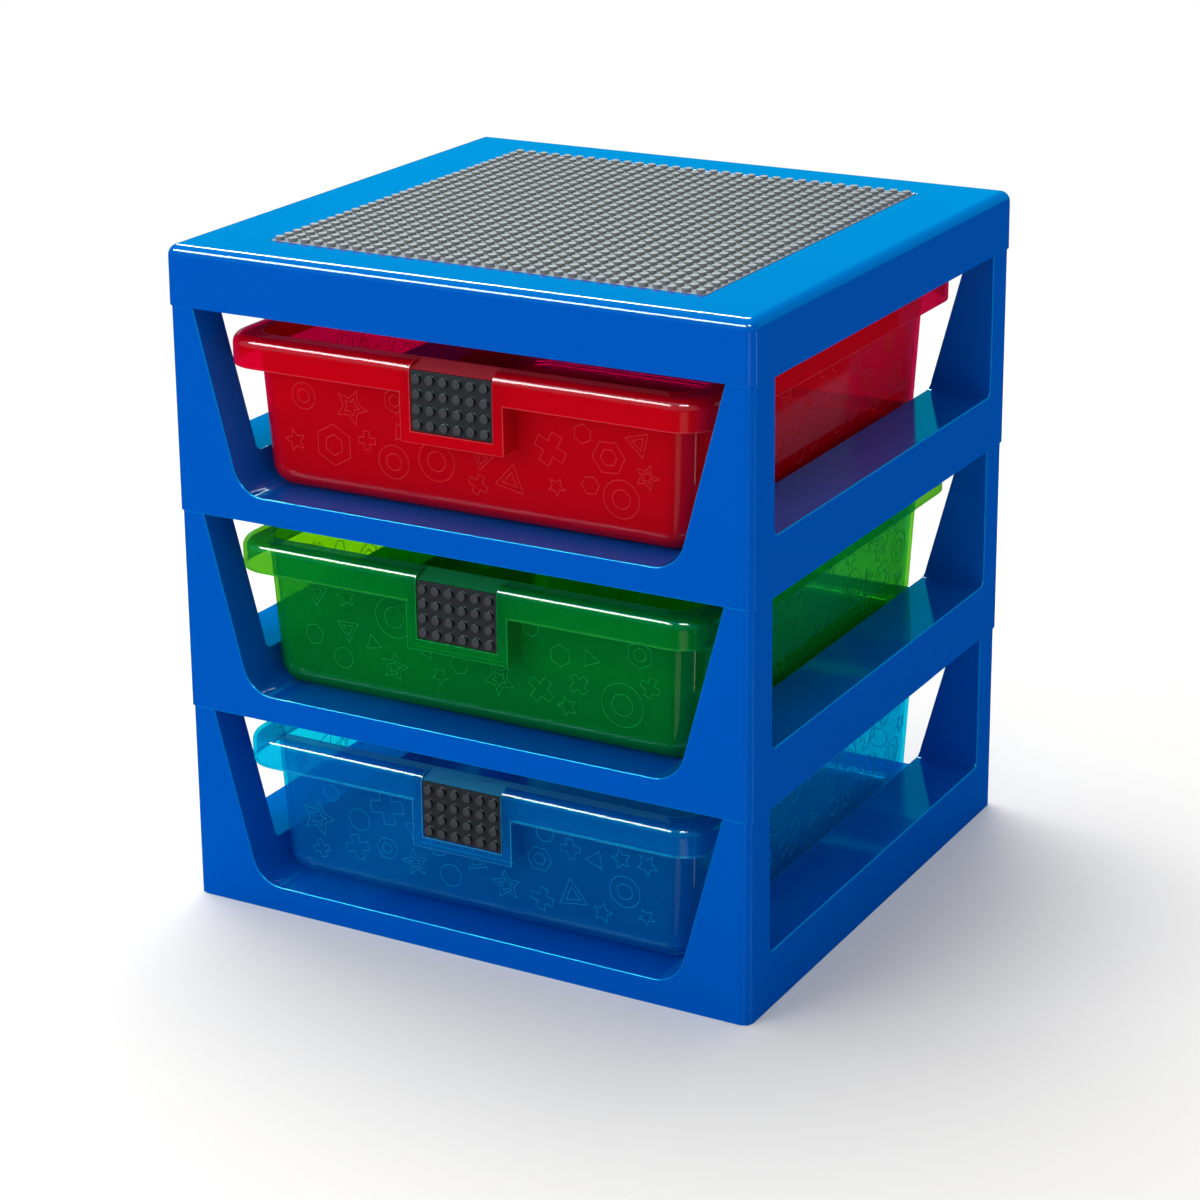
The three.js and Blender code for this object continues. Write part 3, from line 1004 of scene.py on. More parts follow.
@dataclass
class TableTop(RackShell):
    """The skirted cover on top of the stack, with a shallow recess for the stud plate."""

    height: float = 32.5
    edge_radius: float = 6.0
    draft: float = 0.4
    rib_depth: float = 7.0
    plate_side: float = 256.0
    plate_thickness: float = 2.0
    plate_studs: int = 32
    edge_round: float = 0.5
    edge_steps: int = 9

    def edge_rings(self, inset: float, radius: float) -> list[Ring]:
        """Rings round the top edge.

        Args:
            inset: How far the skin lies within the outer one.
            radius: The skin's radius.

        Returns:
            The rings from the skirt up to the flat top.
        """
        rings = []
        for angle in quarter_turn(self.edge_steps):
            z = self.height - self.edge_radius + radius * math.sin(angle)
            rings.append(self.ring(inset + self.draft + radius * (1 - math.cos(angle)), z))
        return rings

    def mesh(self) -> bpy.types.Mesh:
        """Builds the cover, standing at height zero.

        Returns:
            The mesh in metres.
        """
        rings = [self.ring(0, 0), *self.edge_rings(0, self.edge_radius)]
        underside = self.height - self.wall
        panel_half = self.plate_side / 2 + self.wall
        panel_low = underside - self.plate_thickness
        inner_radius = self.edge_radius - self.wall
        hollow_rings = [self.ring(self.wall, -self.overrun), *self.edge_rings(self.wall, inner_radius)]
        hollow = Solid.loft(hollow_rings, self.corner_steps)
        hollow.cut(Solid.block((-panel_half, -panel_half, panel_low), (panel_half, panel_half, self.height)))
        cover = Solid.loft(rings, self.corner_steps).cut(hollow)
        middle = self.wall / 2
        rib_low = panel_low - self.rib_depth
        rib_high = underside + middle
        ribs = self.cross_ribs(self.width / 2, self.depth / 2, rib_low, rib_high)
        ribs += self.socket_ribs(rib_high)
        middle_rings = [self.ring(middle, 0), *self.edge_rings(middle, self.edge_radius - middle)]
        cover.join(*(rib.keep(Solid.loft(middle_rings, self.corner_steps)) for rib in ribs))
        half = self.plate_side / 2 + self.fit_gap
        recess_low = (-half, -half, self.height - self.plate_thickness)
        cover.cut(Solid.block(recess_low, (half, half, self.height + self.overrun)))
        cover.round_edges(self.edge_round, self.in_sight)
        return cover.finish("table_top")

    def in_sight(self, point: Vector) -> bool:
        """Tells the rim of the recess and the foot of the skirt from the hollow inside.

        Args:
            point: A corner of the cover.

        Returns:
            Whether it is on the top face or the skirt's foot.
        """
        on_face = point.z > self.height - self.fit_gap
        on_foot = point.z < self.fit_gap and abs(point.x) > self.width / 2 - self.corner_radius - self.wall
        return on_face or on_foot


@dataclass
class StudField:
    """A plate covered in round studs, as one closed skin."""

    columns: int
    rows: int
    thickness: float = 2.0
    corner_radius: float = 2.0
    pitch: float = 8.0
    stud_diameter: float = 4.9
    stud_height: float = 1.8
    stud_edge: float = 0.28
    stud_foot: float = 0.12
    plate_edge: float = 0.3
    side_splits: int = 5
    edge_steps: int = 3
    rim_steps: int = 2
    points: list[Point] = field(default_factory=list, init=False)
    faces: list[list[int]] = field(default_factory=list, init=False)
    lattice: dict[tuple[int, int, bool], int] = field(default_factory=dict, init=False)

    def solid(self) -> Solid:
        """Builds the plate with its back at height zero and its studs upwards.

        Returns:
            The solid, with the middle of its back at the origin.
        """
        for row in range(self.rows):
            for column in range(self.columns):
                self.add_cell(column, row)
        self.close_back()
        plate = Solid(self.points, self.faces)
        low = self.thickness - self.stud_foot
        high = self.thickness + self.stud_foot
        half_x = self.columns * self.pitch / 2 - self.stud_foot
        half_y = self.rows * self.pitch / 2 - self.stud_foot
        free = self.corner_radius

        def on_rim(point: Vector) -> bool:
            """Tells the plate's own rim from its studs.

            Args:
                point: A corner of the plate.

            Returns:
                Whether it is on the rim.
            """
            corner = abs(point.x) > half_x - free and abs(point.y) > half_y - free
            edge = abs(point.x) > half_x or abs(point.y) > half_y
            return low < point.z < high and (corner or edge)

        return plate.round_edges(self.plate_edge, on_rim, self.rim_steps)

    def corner(self, across: int, up: int, top: bool) -> int:
        """Finds or makes a point where cells meet.

        Args:
            across: Its place along X, counted in splits.
            up: Its place along Y, counted in splits.
            top: Whether it lies on the face or on the back.

        Returns:
            The point's number.
        """
        key = (across, up, top)
        if key not in self.lattice:
            self.lattice[key] = len(self.points)
            step = self.pitch / self.side_splits
            half_x = self.columns * self.pitch / 2
            half_y = self.rows * self.pitch / 2
            x = across * step - half_x
            y = up * step - half_y
            centre_x = math.copysign(half_x - self.corner_radius, x)
            centre_y = math.copysign(half_y - self.corner_radius, y)
            out_x = x - centre_x
            out_y = y - centre_y
            if out_x * x > 0 and out_y * y > 0:
                reach = math.hypot(out_x, out_y)
                x = centre_x + out_x * self.corner_radius / reach
                y = centre_y + out_y * self.corner_radius / reach
            self.points.append((x, y, self.thickness if top else 0.0))
        return self.lattice[key]

    def cell_border(self, column: int, row: int) -> list[int]:
        """Walks counterclockwise round a cell from its corner of most X and Y.

        Args:
            column: Number of the cell along X.
            row: Number of the cell along Y.

        Returns:
            Numbers of its points.
        """
        splits = self.side_splits
        left = column * splits
        low = row * splits
        walk = [(left + splits - i, low + splits) for i in range(splits)]
        walk += [(left, low + splits - i) for i in range(splits)]
        walk += [(left + i, low) for i in range(splits)]
        walk += [(left + splits, low + i) for i in range(splits)]
        return [self.corner(across, up, True) for across, up in walk]

    def add_cell(self, column: int, row: int) -> None:
        """Adds one stud with the square of plate round it.

        Args:
            column: Number of the cell along X.
            row: Number of the cell along Y.
        """
        sides = 4 * self.side_splits
        radius = self.stud_diameter / 2
        top = self.thickness + self.stud_height
        rings = [(radius + self.stud_foot, self.thickness), (radius, self.thickness + self.stud_foot)]
        for angle in quarter_turn(self.edge_steps):
            inset = self.stud_edge * (1 - math.cos(angle))
            rings.append((radius - inset, top - self.stud_edge * (1 - math.sin(angle))))
        centre_x = (column + 0.5 - self.columns / 2) * self.pitch
        centre_y = (row + 0.5 - self.rows / 2) * self.pitch
        outer = self.cell_border(column, row)
        for ring_radius, z in rings:
            start = len(self.points)
            for i in range(sides):
                angle = math.pi / 4 + 2 * math.pi * i / sides
                x = centre_x + ring_radius * math.cos(angle)
                self.points.append((x, centre_y + ring_radius * math.sin(angle), z))
            inner = list(range(start, start + sides))
            self.skin(outer, inner)
            outer = inner
        self.faces.append(outer)

    def skin(self, outer: list[int], inner: list[int]) -> None:
        """Adds a band of faces between two loops of points.

        Args:
            outer: Numbers of the outer loop's points.
            inner: Numbers of the inner loop's points.
        """
        count = len(outer)
        for i in range(count):
            following = (i + 1) % count
            self.faces.append([outer[i], outer[following], inner[following], inner[i]])

    def close_back(self) -> None:
        """Adds the plate's sides and its flat back."""
        across = self.columns * self.side_splits
        up = self.rows * self.side_splits
        walk = [(i, 0) for i in range(across)] + [(across, i) for i in range(up)]
        walk += [(across - i, up) for i in range(across)] + [(0, up - i) for i in range(up)]
        face = [self.corner(x, y, True) for x, y in walk]
        back = [self.corner(x, y, False) for x, y in walk]
        self.skin(back, face)
        self.faces.append(back)


@dataclass
class Drawer:
    """A see-through tray with an overhanging rim and a framed bracket for the grip pad."""

    wall: float = 2.2
    body_half_width: float = 131.5
    body_half_depth: float = 146.5
    draft: float = math.radians(2.5)
    corner_radius: float = 15.0
    foot_radius: float = 12.0
    floor: float = 14.8
    top: float = 100.0
    rim_overhang: float = 12.0
    rim_skirt: float = 16.6
    rim_corner_radius: float = 21.5
    rim_edge_radius: float = 6.0
    rim_foot_radius: float = 0.6
    lip_radius: float = 1.0
    bracket_border: float = 6.6
    bracket_wall: float = 2.2
    bracket_round: float = 0.45
    edge_width: float = 0.6
    wall_slope: float = 0.3
    pad_width: float = 48.0
    pad_height: float = 32.0
    pad_thickness: float = 2.0
    pad_corner_radius: float = 0.4
    pad_columns: int = 6
    pad_rows: int = 4
    pad_recess: float = 0.7
    pad_top_drop: float = 4.0
    notch_depth: float = 12.5
    fit_gap: float = 0.3
    overrun: float = 5.0
    corner_steps: int = 12
    foot_steps: int = 8
    edge_steps: int = 8
    small_steps: int = 3
    bracket_steps: int = 2

    @property
    def front(self) -> float:
        """How far the rim reaches to the front."""
        return self.body_half_depth + self.rim_overhang

    @property
    def pad_top(self) -> float:
        """Height of the pad's top edge."""
        return self.top - self.pad_top_drop

    @property
    def pad_bottom(self) -> float:
        """Height of the pad's bottom edge."""
        return self.pad_top - self.pad_height

    @property
    def pad_back(self) -> float:
        """How far forward the back of the pad lies."""
        return self.front - self.pad_recess - self.pad_thickness

    @property
    def bracket_half(self) -> float:
        """Half of the bracket's width."""
        return self.pad_width / 2 + self.bracket_border

    @property
    def bracket_bottom(self) -> float:
        """Height of the bracket's bottom edge."""
        return self.pad_bottom - self.bracket_border

    def lean(self, z: float) -> float:
        """How far the walls have drawn in at a height."""
        return math.tan(self.draft) * (self.top - z)

    def body_ring(self, inset: float, z: float) -> Ring:
        """A ring of the tray's body at a height.

        Args:
            inset: How far it lies within the wall's outside.
            z: Its height.

        Returns:
            The ring.
        """
        drawn_in = self.lean(z) + inset
        half_x = self.body_half_width - drawn_in
        return Ring(half_x, self.body_half_depth - drawn_in, self.corner_radius - inset, z)

    def rim_ring(self, inset: float, z: float) -> Ring:
        """A ring of the rim, measured from the outside of its skirt."""
        half_x = self.body_half_width + self.rim_overhang - inset
        return Ring(half_x, self.front - inset, self.rim_corner_radius - inset, z)

    def foot_rings(self, radius: float, inset: float, floor: float) -> list[Ring]:
        """Rings of a rounded foot, from the flat floor up to the wall.

        Args:
            radius: Radius of the rounding.
            inset: How far it lies within the wall's outside.
            floor: Height of the flat floor.

        Returns:
            The rings.
        """
        rings = []
        for angle in quarter_turn(self.foot_steps):
            drawn_in = inset + radius * (1 - math.sin(angle))
            rings.append(self.body_ring(drawn_in, floor + radius * (1 - math.cos(angle))))
        return rings

    def rim_foot_rings(self, low: float) -> list[Ring]:
        """Rings round the bottom edge of the skirt, from its inside to its outside.

        Args:
            low: Height of that edge.

        Returns:
            The rings.
        """
        radius = self.rim_foot_radius
        rings = []
        for angle in quarter_turn(self.small_steps):
            drawn_in = self.wall - radius * (1 - math.cos(angle))
            rings.append(self.rim_ring(drawn_in, low + radius * (1 - math.sin(angle))))
        for angle in quarter_turn(self.small_steps):
            drawn_in = radius * (1 - math.sin(angle))
            rings.append(self.rim_ring(drawn_in, low + radius * (1 - math.cos(angle))))
        return rings

    def tray_rings(self) -> list[Ring]:
        """All rings of the tray, from the outside over the rim to the inside.

        Returns:
            The rings.
        """
        flange_low = self.top - self.wall
        rings = self.foot_rings(self.foot_radius, 0, self.floor)
        rings.append(self.body_ring(0, flange_low))
        for angle in quarter_turn(self.edge_steps):
            inner = self.rim_edge_radius - self.wall
            drawn_in = self.wall + inner * (1 - math.sin(angle))
            rings.append(self.rim_ring(drawn_in, flange_low - inner * (1 - math.cos(angle))))
        rings.extend(self.rim_foot_rings(self.top - self.rim_skirt))
        for angle in quarter_turn(self.edge_steps):
            inset = self.rim_edge_radius * (1 - math.cos(angle))
            rings.append(self.rim_ring(inset, self.top - self.rim_edge_radius * (1 - math.sin(angle))))
        for angle in quarter_turn(self.small_steps):
            inset = self.wall - self.lip_radius * (1 - math.sin(angle))
            rings.append(self.body_ring(inset, self.top - self.lip_radius * (1 - math.cos(angle))))
        inner_radius = self.foot_radius - self.wall
        inner = self.foot_rings(inner_radius, self.wall, self.floor + self.wall)
        return rings + inner[::-1]

    def bracket(self) -> Solid:
        """The bracket's mass from the skirt's face to the middle of the tray's wall, hollow behind.

        Returns:
            The solid to join to the tray.
        """
        low = self.bracket_bottom
        high = self.top - self.wall / 2
        shoulder = self.top - self.rim_edge_radius
        middle = self.body_half_depth - self.wall / 2
        outline = [(-self.front, low), (self.lean(low) - middle, low), (self.lean(high) - middle, high)]
        rim_centre = (self.rim_edge_radius - self.front, shoulder)
        outline += arc(rim_centre, high - shoulder, math.pi / 2, math.pi, self.edge_steps)
        outline.append((-self.front, shoulder))
        mass = Solid.prism(outline, Axis.X, -self.bracket_half, self.bracket_half)
        room_half = self.bracket_half - self.bracket_wall
        room_low = (-room_half, self.bracket_wall - self.pad_back, low - self.overrun)
        room_high = (room_half, self.overrun - middle, self.top - self.wall)
        return mass.cut(Solid.block(room_low, room_high).cut(self.notch(self.wall)))

    def notch(self, grow: float) -> Solid:
        """The sloped notch that dips the rim down to the top edge of the pad.

        Args:
            grow: Thickness of the wall under it that is taken along.

        Returns:
            The space over the notch.
        """
        half = self.pad_width / 2 + self.fit_gap + grow
        slope = (self.top - self.pad_top) / self.notch_depth
        level = self.top - grow * math.hypot(1, slope)
        near = -self.front - self.overrun
        far = -self.front + self.notch_depth + self.overrun
        low = level - slope * (self.notch_depth + self.overrun)
        high = level + slope * self.overrun
        return Solid.prism([(near, low), (far, high), (near, high)], Axis.X, -half, half)

    def pocket(self) -> Solid:
        """The pocket that the pad sits in.

        Returns:
            The solid to cut.
        """
        half = self.pad_width / 2 + self.fit_gap
        low = (-half, -self.front - self.overrun, self.pad_bottom - self.fit_gap)
        return Solid.block(low, (half, self.fit_gap - self.pad_back, self.pad_top + self.fit_gap))

    def mesh(self) -> bpy.types.Mesh:
        """Builds the drawer of a frame that stands at height zero.

        Returns:
            The mesh in metres.
        """
        tray = Solid.loft(self.tray_rings(), self.corner_steps)
        tray.join(self.bracket()).cut(self.pocket(), self.notch(0))
        tray.round_edges(self.bracket_round, self.on_bracket, self.bracket_steps)
        mesh = tray.finish("drawer")
        # Edges and notch slope take the painted highlight
        mark(mesh, SECOND_FINISH, self.is_highlight_edge)
        # The inside of the floor, back and sides takes the painted light
        mark(mesh, THIRD_FINISH, self.is_painted_light_inside)
        return mesh

    def is_highlight_edge(self, middle: Vector, normal: Vector, width: float) -> bool:
        """Tells the narrow faces along its edges, and the slope of the notch, which take the painted
        highlight.

        Args:
            middle: Middle of a face.
            normal: Its normal.
            width: Its narrow width.

        Returns:
            Whether it is one of them.
        """
        beside = abs(middle.x) < self.pad_width / 2 + self.fit_gap
        ahead = middle.y < self.notch_depth - self.front
        on_slope = middle.z > self.pad_top and normal.z > self.wall_slope
        return width < self.edge_width or (beside and ahead and on_slope)

    def is_painted_light_inside(self, middle: Vector, normal: Vector, width: float) -> bool:
        """Tells the inside of the floor, the back and the sides, which take the painted light.

        Args:
            middle: Middle of a face.
            normal: Its normal, which is not used.
            width: Its narrow width, which is not used.

        Returns:
            Whether the face is there.
        """
        within_x = abs(middle.x) < self.body_half_width - self.lean(middle.z) - self.wall / 2
        within_y = abs(middle.y) < self.body_half_depth - self.lean(middle.z) - self.wall / 2
        front_wall = self.corner_radius - self.body_half_depth
        within_z = self.floor + self.wall / 2 < middle.z < self.top - self.lip_radius
        return within_x and within_y and within_z and middle.y > front_wall

    def on_bracket(self, point: Vector) -> bool:
        """Tells the bracket, whose edges are rounded, from the rest of the drawer.

        Args:
            point: A corner of the drawer.

        Returns:
            Whether it is on the bracket.
        """
        beside = abs(point.x) < self.bracket_half + self.fit_gap
        ahead = point.y < self.bracket_wall - self.body_half_depth
        return beside and ahead and point.z > self.bracket_bottom - self.fit_gap

    def pad_mesh(self) -> bpy.types.Mesh:
        """Builds the grip pad, facing the front in its pocket.

        Returns:
            The mesh in metres.
        """
        studs = StudField(self.pad_columns, self.pad_rows, self.pad_thickness, self.pad_corner_radius)
        pad = studs.solid()
        height = (self.pad_top + self.pad_bottom) / 2
        place = Matrix.Translation((0, -self.pad_back, height)) @ Matrix.Rotation(math.pi / 2, 4, "X")
        pad.body.data.transform(place)
        mesh = pad.finish("grip_pad")
        face = -self.pad_back - self.pad_thickness
        foot = face - studs.stud_foot / 2
        crown = face - studs.stud_height / 2

        def on_shaded_stud_wall(middle: Vector, normal: Vector, width: float) -> bool:
            """Tells the sides of the studs, which take a near-black painted shade."""
            return middle.y < foot and abs(normal.y) < self.wall_slope

        def on_lit_stud_top(middle: Vector, normal: Vector, width: float) -> bool:
            """Tells the tops of the studs, which take a lighter painted highlight."""
            return middle.y < crown and abs(normal.y) > self.wall_slope

        mark(mesh, SECOND_FINISH, on_shaded_stud_wall)
        mark(mesh, THIRD_FINISH, on_lit_stud_top)
        return mesh


# Figures of the relief, drawn with a reach of one
CIRCLE_SIDES = 32
STAR_POINTS = 5
STAR_WAIST_SHARE = 0.48
PLUS_ARM_SHARE = 0.34


class Motif(Enum):
    """A plain outlined figure of the relief."""

    CIRCLE = "circle"
    TRIANGLE = "triangle"
    HEXAGON = "hexagon"
    STAR = "star"
    PLUS = "plus"

    def loop(self) -> Outline:
        """Draws the figure with a reach of one.

        Returns:
            Its corners, counterclockwise.
        """
        sides = {Motif.CIRCLE: CIRCLE_SIDES, Motif.TRIANGLE: 3, Motif.HEXAGON: 6}
        if self in sides:
            return polygon(sides[self], (1.0,))
        if self is Motif.STAR:
            return polygon(2 * STAR_POINTS, (1.0, STAR_WAIST_SHARE))
        arm = PLUS_ARM_SHARE
        corners = [(arm, arm), (arm, 1.0), (-arm, 1.0), (-arm, arm), (-1.0, arm), (-1.0, -arm)]
        return corners + [(-x, -y) for x, y in corners]


def polygon(count: int, reaches: tuple[float, ...]) -> Outline:
    """Draws a regular figure whose corners take turns in their reach.

    Args:
        count: Number of its corners.
        reaches: How far the corners lie from the middle, in turn.

    Returns:
        The corners, counterclockwise.
    """
    corners = []
    for i in range(count):
        angle = 2 * math.pi * i / count
        reach = reaches[i % len(reaches)]
        corners.append((reach * math.cos(angle), reach * math.sin(angle)))
    return corners


@dataclass(frozen=True)
class WallPlane:
    """One outer wall of a drawer, flat apart from its lean.

    Args:
        turn: Angle of the wall round Z, zero for the front.
        reach: How far it lies from the middle at the top of the drawer.
        half_run: Half of the stretch that takes figures.
        keep_out: Half of the width in its middle that stays bare above the bracket's foot.
    """

    turn: float
    reach: float
    half_run: float
    keep_out: float

    def matrix(self, drawer: Drawer) -> Matrix:
        """Places a drawing on the wall, with X along it, Y up it and Z out of it.

        Args:
            drawer: The drawer that the wall belongs to.

        Returns:
            The placing, in millimetres.
        """
        tilt = math.pi / 2 + drawer.draft
        place = Matrix.Translation((0, -self.reach, drawer.top)) @ Matrix.Rotation(tilt, 4, "X")
        return Matrix.Rotation(self.turn, 4, "Z") @ place


@dataclass
class Relief:
    """Thin raised outlines of plain figures, scattered over a drawer's walls.

    Args:
        drawer: The drawer that carries them.
        seed: Seed of their chance.
        line_width: Width of an outline at its foot.
        line_height: How far it stands out.
        line_sink: How far it reaches into the wall.
        least_reach: Reach of the smallest figures.
        most_reach: Reach of the largest figures.
        gap: Least gap between figures.
        low_margin: Bare strip at the ends of a wall, and half of it above and below.
        tries: Places that are tried on each wall.
        inner_share: Size of the inner outline of a nested figure.
        nest_share: Least reach of a nested figure, as a share of the smallest figures' reach.
        skip_choices: How many kinds chance picks each figure from.
        least_mitre: Least divisor at a corner, which keeps sharp points short.
        faces: The faces so far.
        points: The points so far, in millimetres.
    """

    drawer: Drawer
    seed: int
    line_width: float = 0.45
    line_height: float = 0.22
    line_sink: float = 0.1
    least_reach: float = 5.0
    most_reach: float = 12.5
    gap: float = 2.6
    low_margin: float = 4.0
    tries: int = 900
    inner_share: float = 0.5
    nest_share: float = 4 / 3
    skip_choices: int = 2
    least_mitre: float = 0.2
    faces: list[list[int]] = field(default_factory=list)
    points: list[Point] = field(default_factory=list)

    def walls(self) -> list[WallPlane]:
        """The four walls that carry figures.

        Returns:
            The front first, then counterclockwise.
        """
        drawer = self.drawer
        across = drawer.body_half_width - drawer.corner_radius - self.low_margin
        along = drawer.body_half_depth - drawer.corner_radius - self.low_margin
        bracket = drawer.bracket_half
        quarter = math.pi / 2
        return [
            WallPlane(0, drawer.body_half_depth, across, bracket),
            WallPlane(quarter, drawer.body_half_width, along, 0),
            WallPlane(2 * quarter, drawer.body_half_depth, across, 0),
            WallPlane(3 * quarter, drawer.body_half_width, along, 0),
        ]

    def scatter(self, wall: WallPlane, dice: random.Random) -> list[tuple[float, float, float]]:
        """Finds free places for figures on a wall.

        Args:
            wall: The wall.
            dice: The source of chance.

        Returns:
            The middle and the reach of each figure, the height counted down from the top.
        """
        drawer = self.drawer
        high = -drawer.rim_skirt - self.low_margin / 2
        low = drawer.floor + drawer.foot_radius - drawer.top + self.low_margin / 2
        bracket_foot = drawer.bracket_bottom - drawer.top
        placed: list[tuple[float, float, float]] = []
        for attempt in range(self.tries):
            shrink = 1 - attempt / self.tries
            reach = self.least_reach + (self.most_reach - self.least_reach) * shrink * dice.random()
            x = dice.uniform(-wall.half_run + reach, wall.half_run - reach)
            y = dice.uniform(low + reach, high - reach)
            covered = abs(x) < wall.keep_out + reach + self.gap / 2 and y > bracket_foot - reach
            near = any(math.hypot(x - px, y - py) < reach + pr + self.gap for px, py, pr in placed)
            if not covered and not near:
                placed.append((x, y, reach))
        return placed

    def add_outline(self, loop: list[Vector], place: Matrix) -> None:
        """Raises a closed outline from a wall as a thin ridge.

        Args:
            loop: Its middle line, counterclockwise in the wall's plane.
            place: Where the wall lies.
        """
        count = len(loop)
        sides = []
        for i in range(count):
            before = (loop[i] - loop[i - 1]).normalized()
            after = (loop[(i + 1) % count] - loop[i]).normalized()
            mitre = Vector((before.y + after.y, -before.x - after.x))
            sides.append(mitre * (1 / max(mitre.length_squared / 2, self.least_mitre)))
        half = self.line_width / 2
        levels = [(half, -self.line_sink), (half, 0), (half / 2, self.line_height)]
        levels += [(-half / 2, self.line_height), (-half, 0), (-half, -self.line_sink)]
        start = len(self.points)
        for offset, up in levels:
            for corner, side in zip(loop, sides):
                flat = corner + side * offset
                self.points.append(tuple(place @ Vector((flat.x, flat.y, up))))
        for level in range(len(levels)):
            here = start + level * count
            there = start + (level + 1) % len(levels) * count
            for i in range(count):
                following = (i + 1) % count
                self.faces.append([here + i, here + following, there + following, there + i])

    def mesh(self) -> bpy.types.Mesh:
        """Builds all the outlines of one drawer.

        Returns:
            The mesh in metres.
        """
        dice = random.Random(self.seed)
        kinds = list(Motif)
        for wall in self.walls():
            place = wall.matrix(self.drawer)
            for number, (x, y, reach) in enumerate(self.scatter(wall, dice)):
                kind = kinds[(number + dice.randrange(self.skip_choices)) % len(kinds)]
                turn = Matrix.Rotation(dice.uniform(0, 2 * math.pi), 2)
                nested = kind is not Motif.PLUS and reach >= self.nest_share * self.least_reach
                shares = [1.0, self.inner_share] if nested else [1.0]
                for share in shares:
                    corners = [turn @ Vector(corner) * reach * share for corner in kind.loop()]
                    self.add_outline([Vector((x, y)) + corner for corner in corners], place)
        return Solid(self.points, self.faces).finish("relief")


class Reach(Enum):
    """What a lamp lights: matt colour or glossy highlights."""

    COLOUR = "colour"
    HIGHLIGHTS = "highlights"


@dataclass(frozen=True)
class Softbox:
    """A flat studio lamp.

    Args:
        name: Its name.
        place: Where it hangs, in metres.
        target: What it points at, in metres.
        size: Its width and height in metres.
        glow: How bright its face is, with 1 for a white wall.
        reach: What it lights.
    """

    name: str
    place: Point
    target: Point
    size: tuple[float, float]
    glow: float
    reach: Reach

    def hang(self) -> None:
        """Adds the lamp to the scene."""
        lamp = bpy.data.lights.new(self.name, "AREA")
        lamp.shape = "RECTANGLE"
        lamp.size, lamp.size_y = self.size
        lamp.energy = self.glow * math.pi * self.size[0] * self.size[1]
        holder = bpy.data.objects.new(self.name, lamp)
        holder.location = self.place
        direction = Vector(self.target) - Vector(self.place)
        holder.rotation_euler = direction.to_track_quat("-Z", "Y").to_euler()
        holder.visible_camera = False
        holder.visible_diffuse = self.reach is Reach.COLOUR
        holder.visible_glossy = self.reach is Reach.HIGHLIGHTS
        bpy.context.scene.collection.objects.link(holder)


@dataclass(frozen=True)
class LowPanel:
    """A pale upright panel far off, which only the gloss of upright corners shows.

    Args:
        bearing: Its direction round Z.
        half_width: Half of the angle that it fills.
        glow: How bright it is.
    """

    bearing: float
    half_width: float
    glow: float


# What the lamps point at, in metres, and how bright the mirrored ones are
RACK_MIDDLE: Point = (0.0, 0.0, 0.2)
FRONT_EDGES: Point = (0.0, -0.16, 0.34)
NEAR_CORNER: Point = (0.13, -0.15, 0.3)
STRIP_GLOW = 28.0


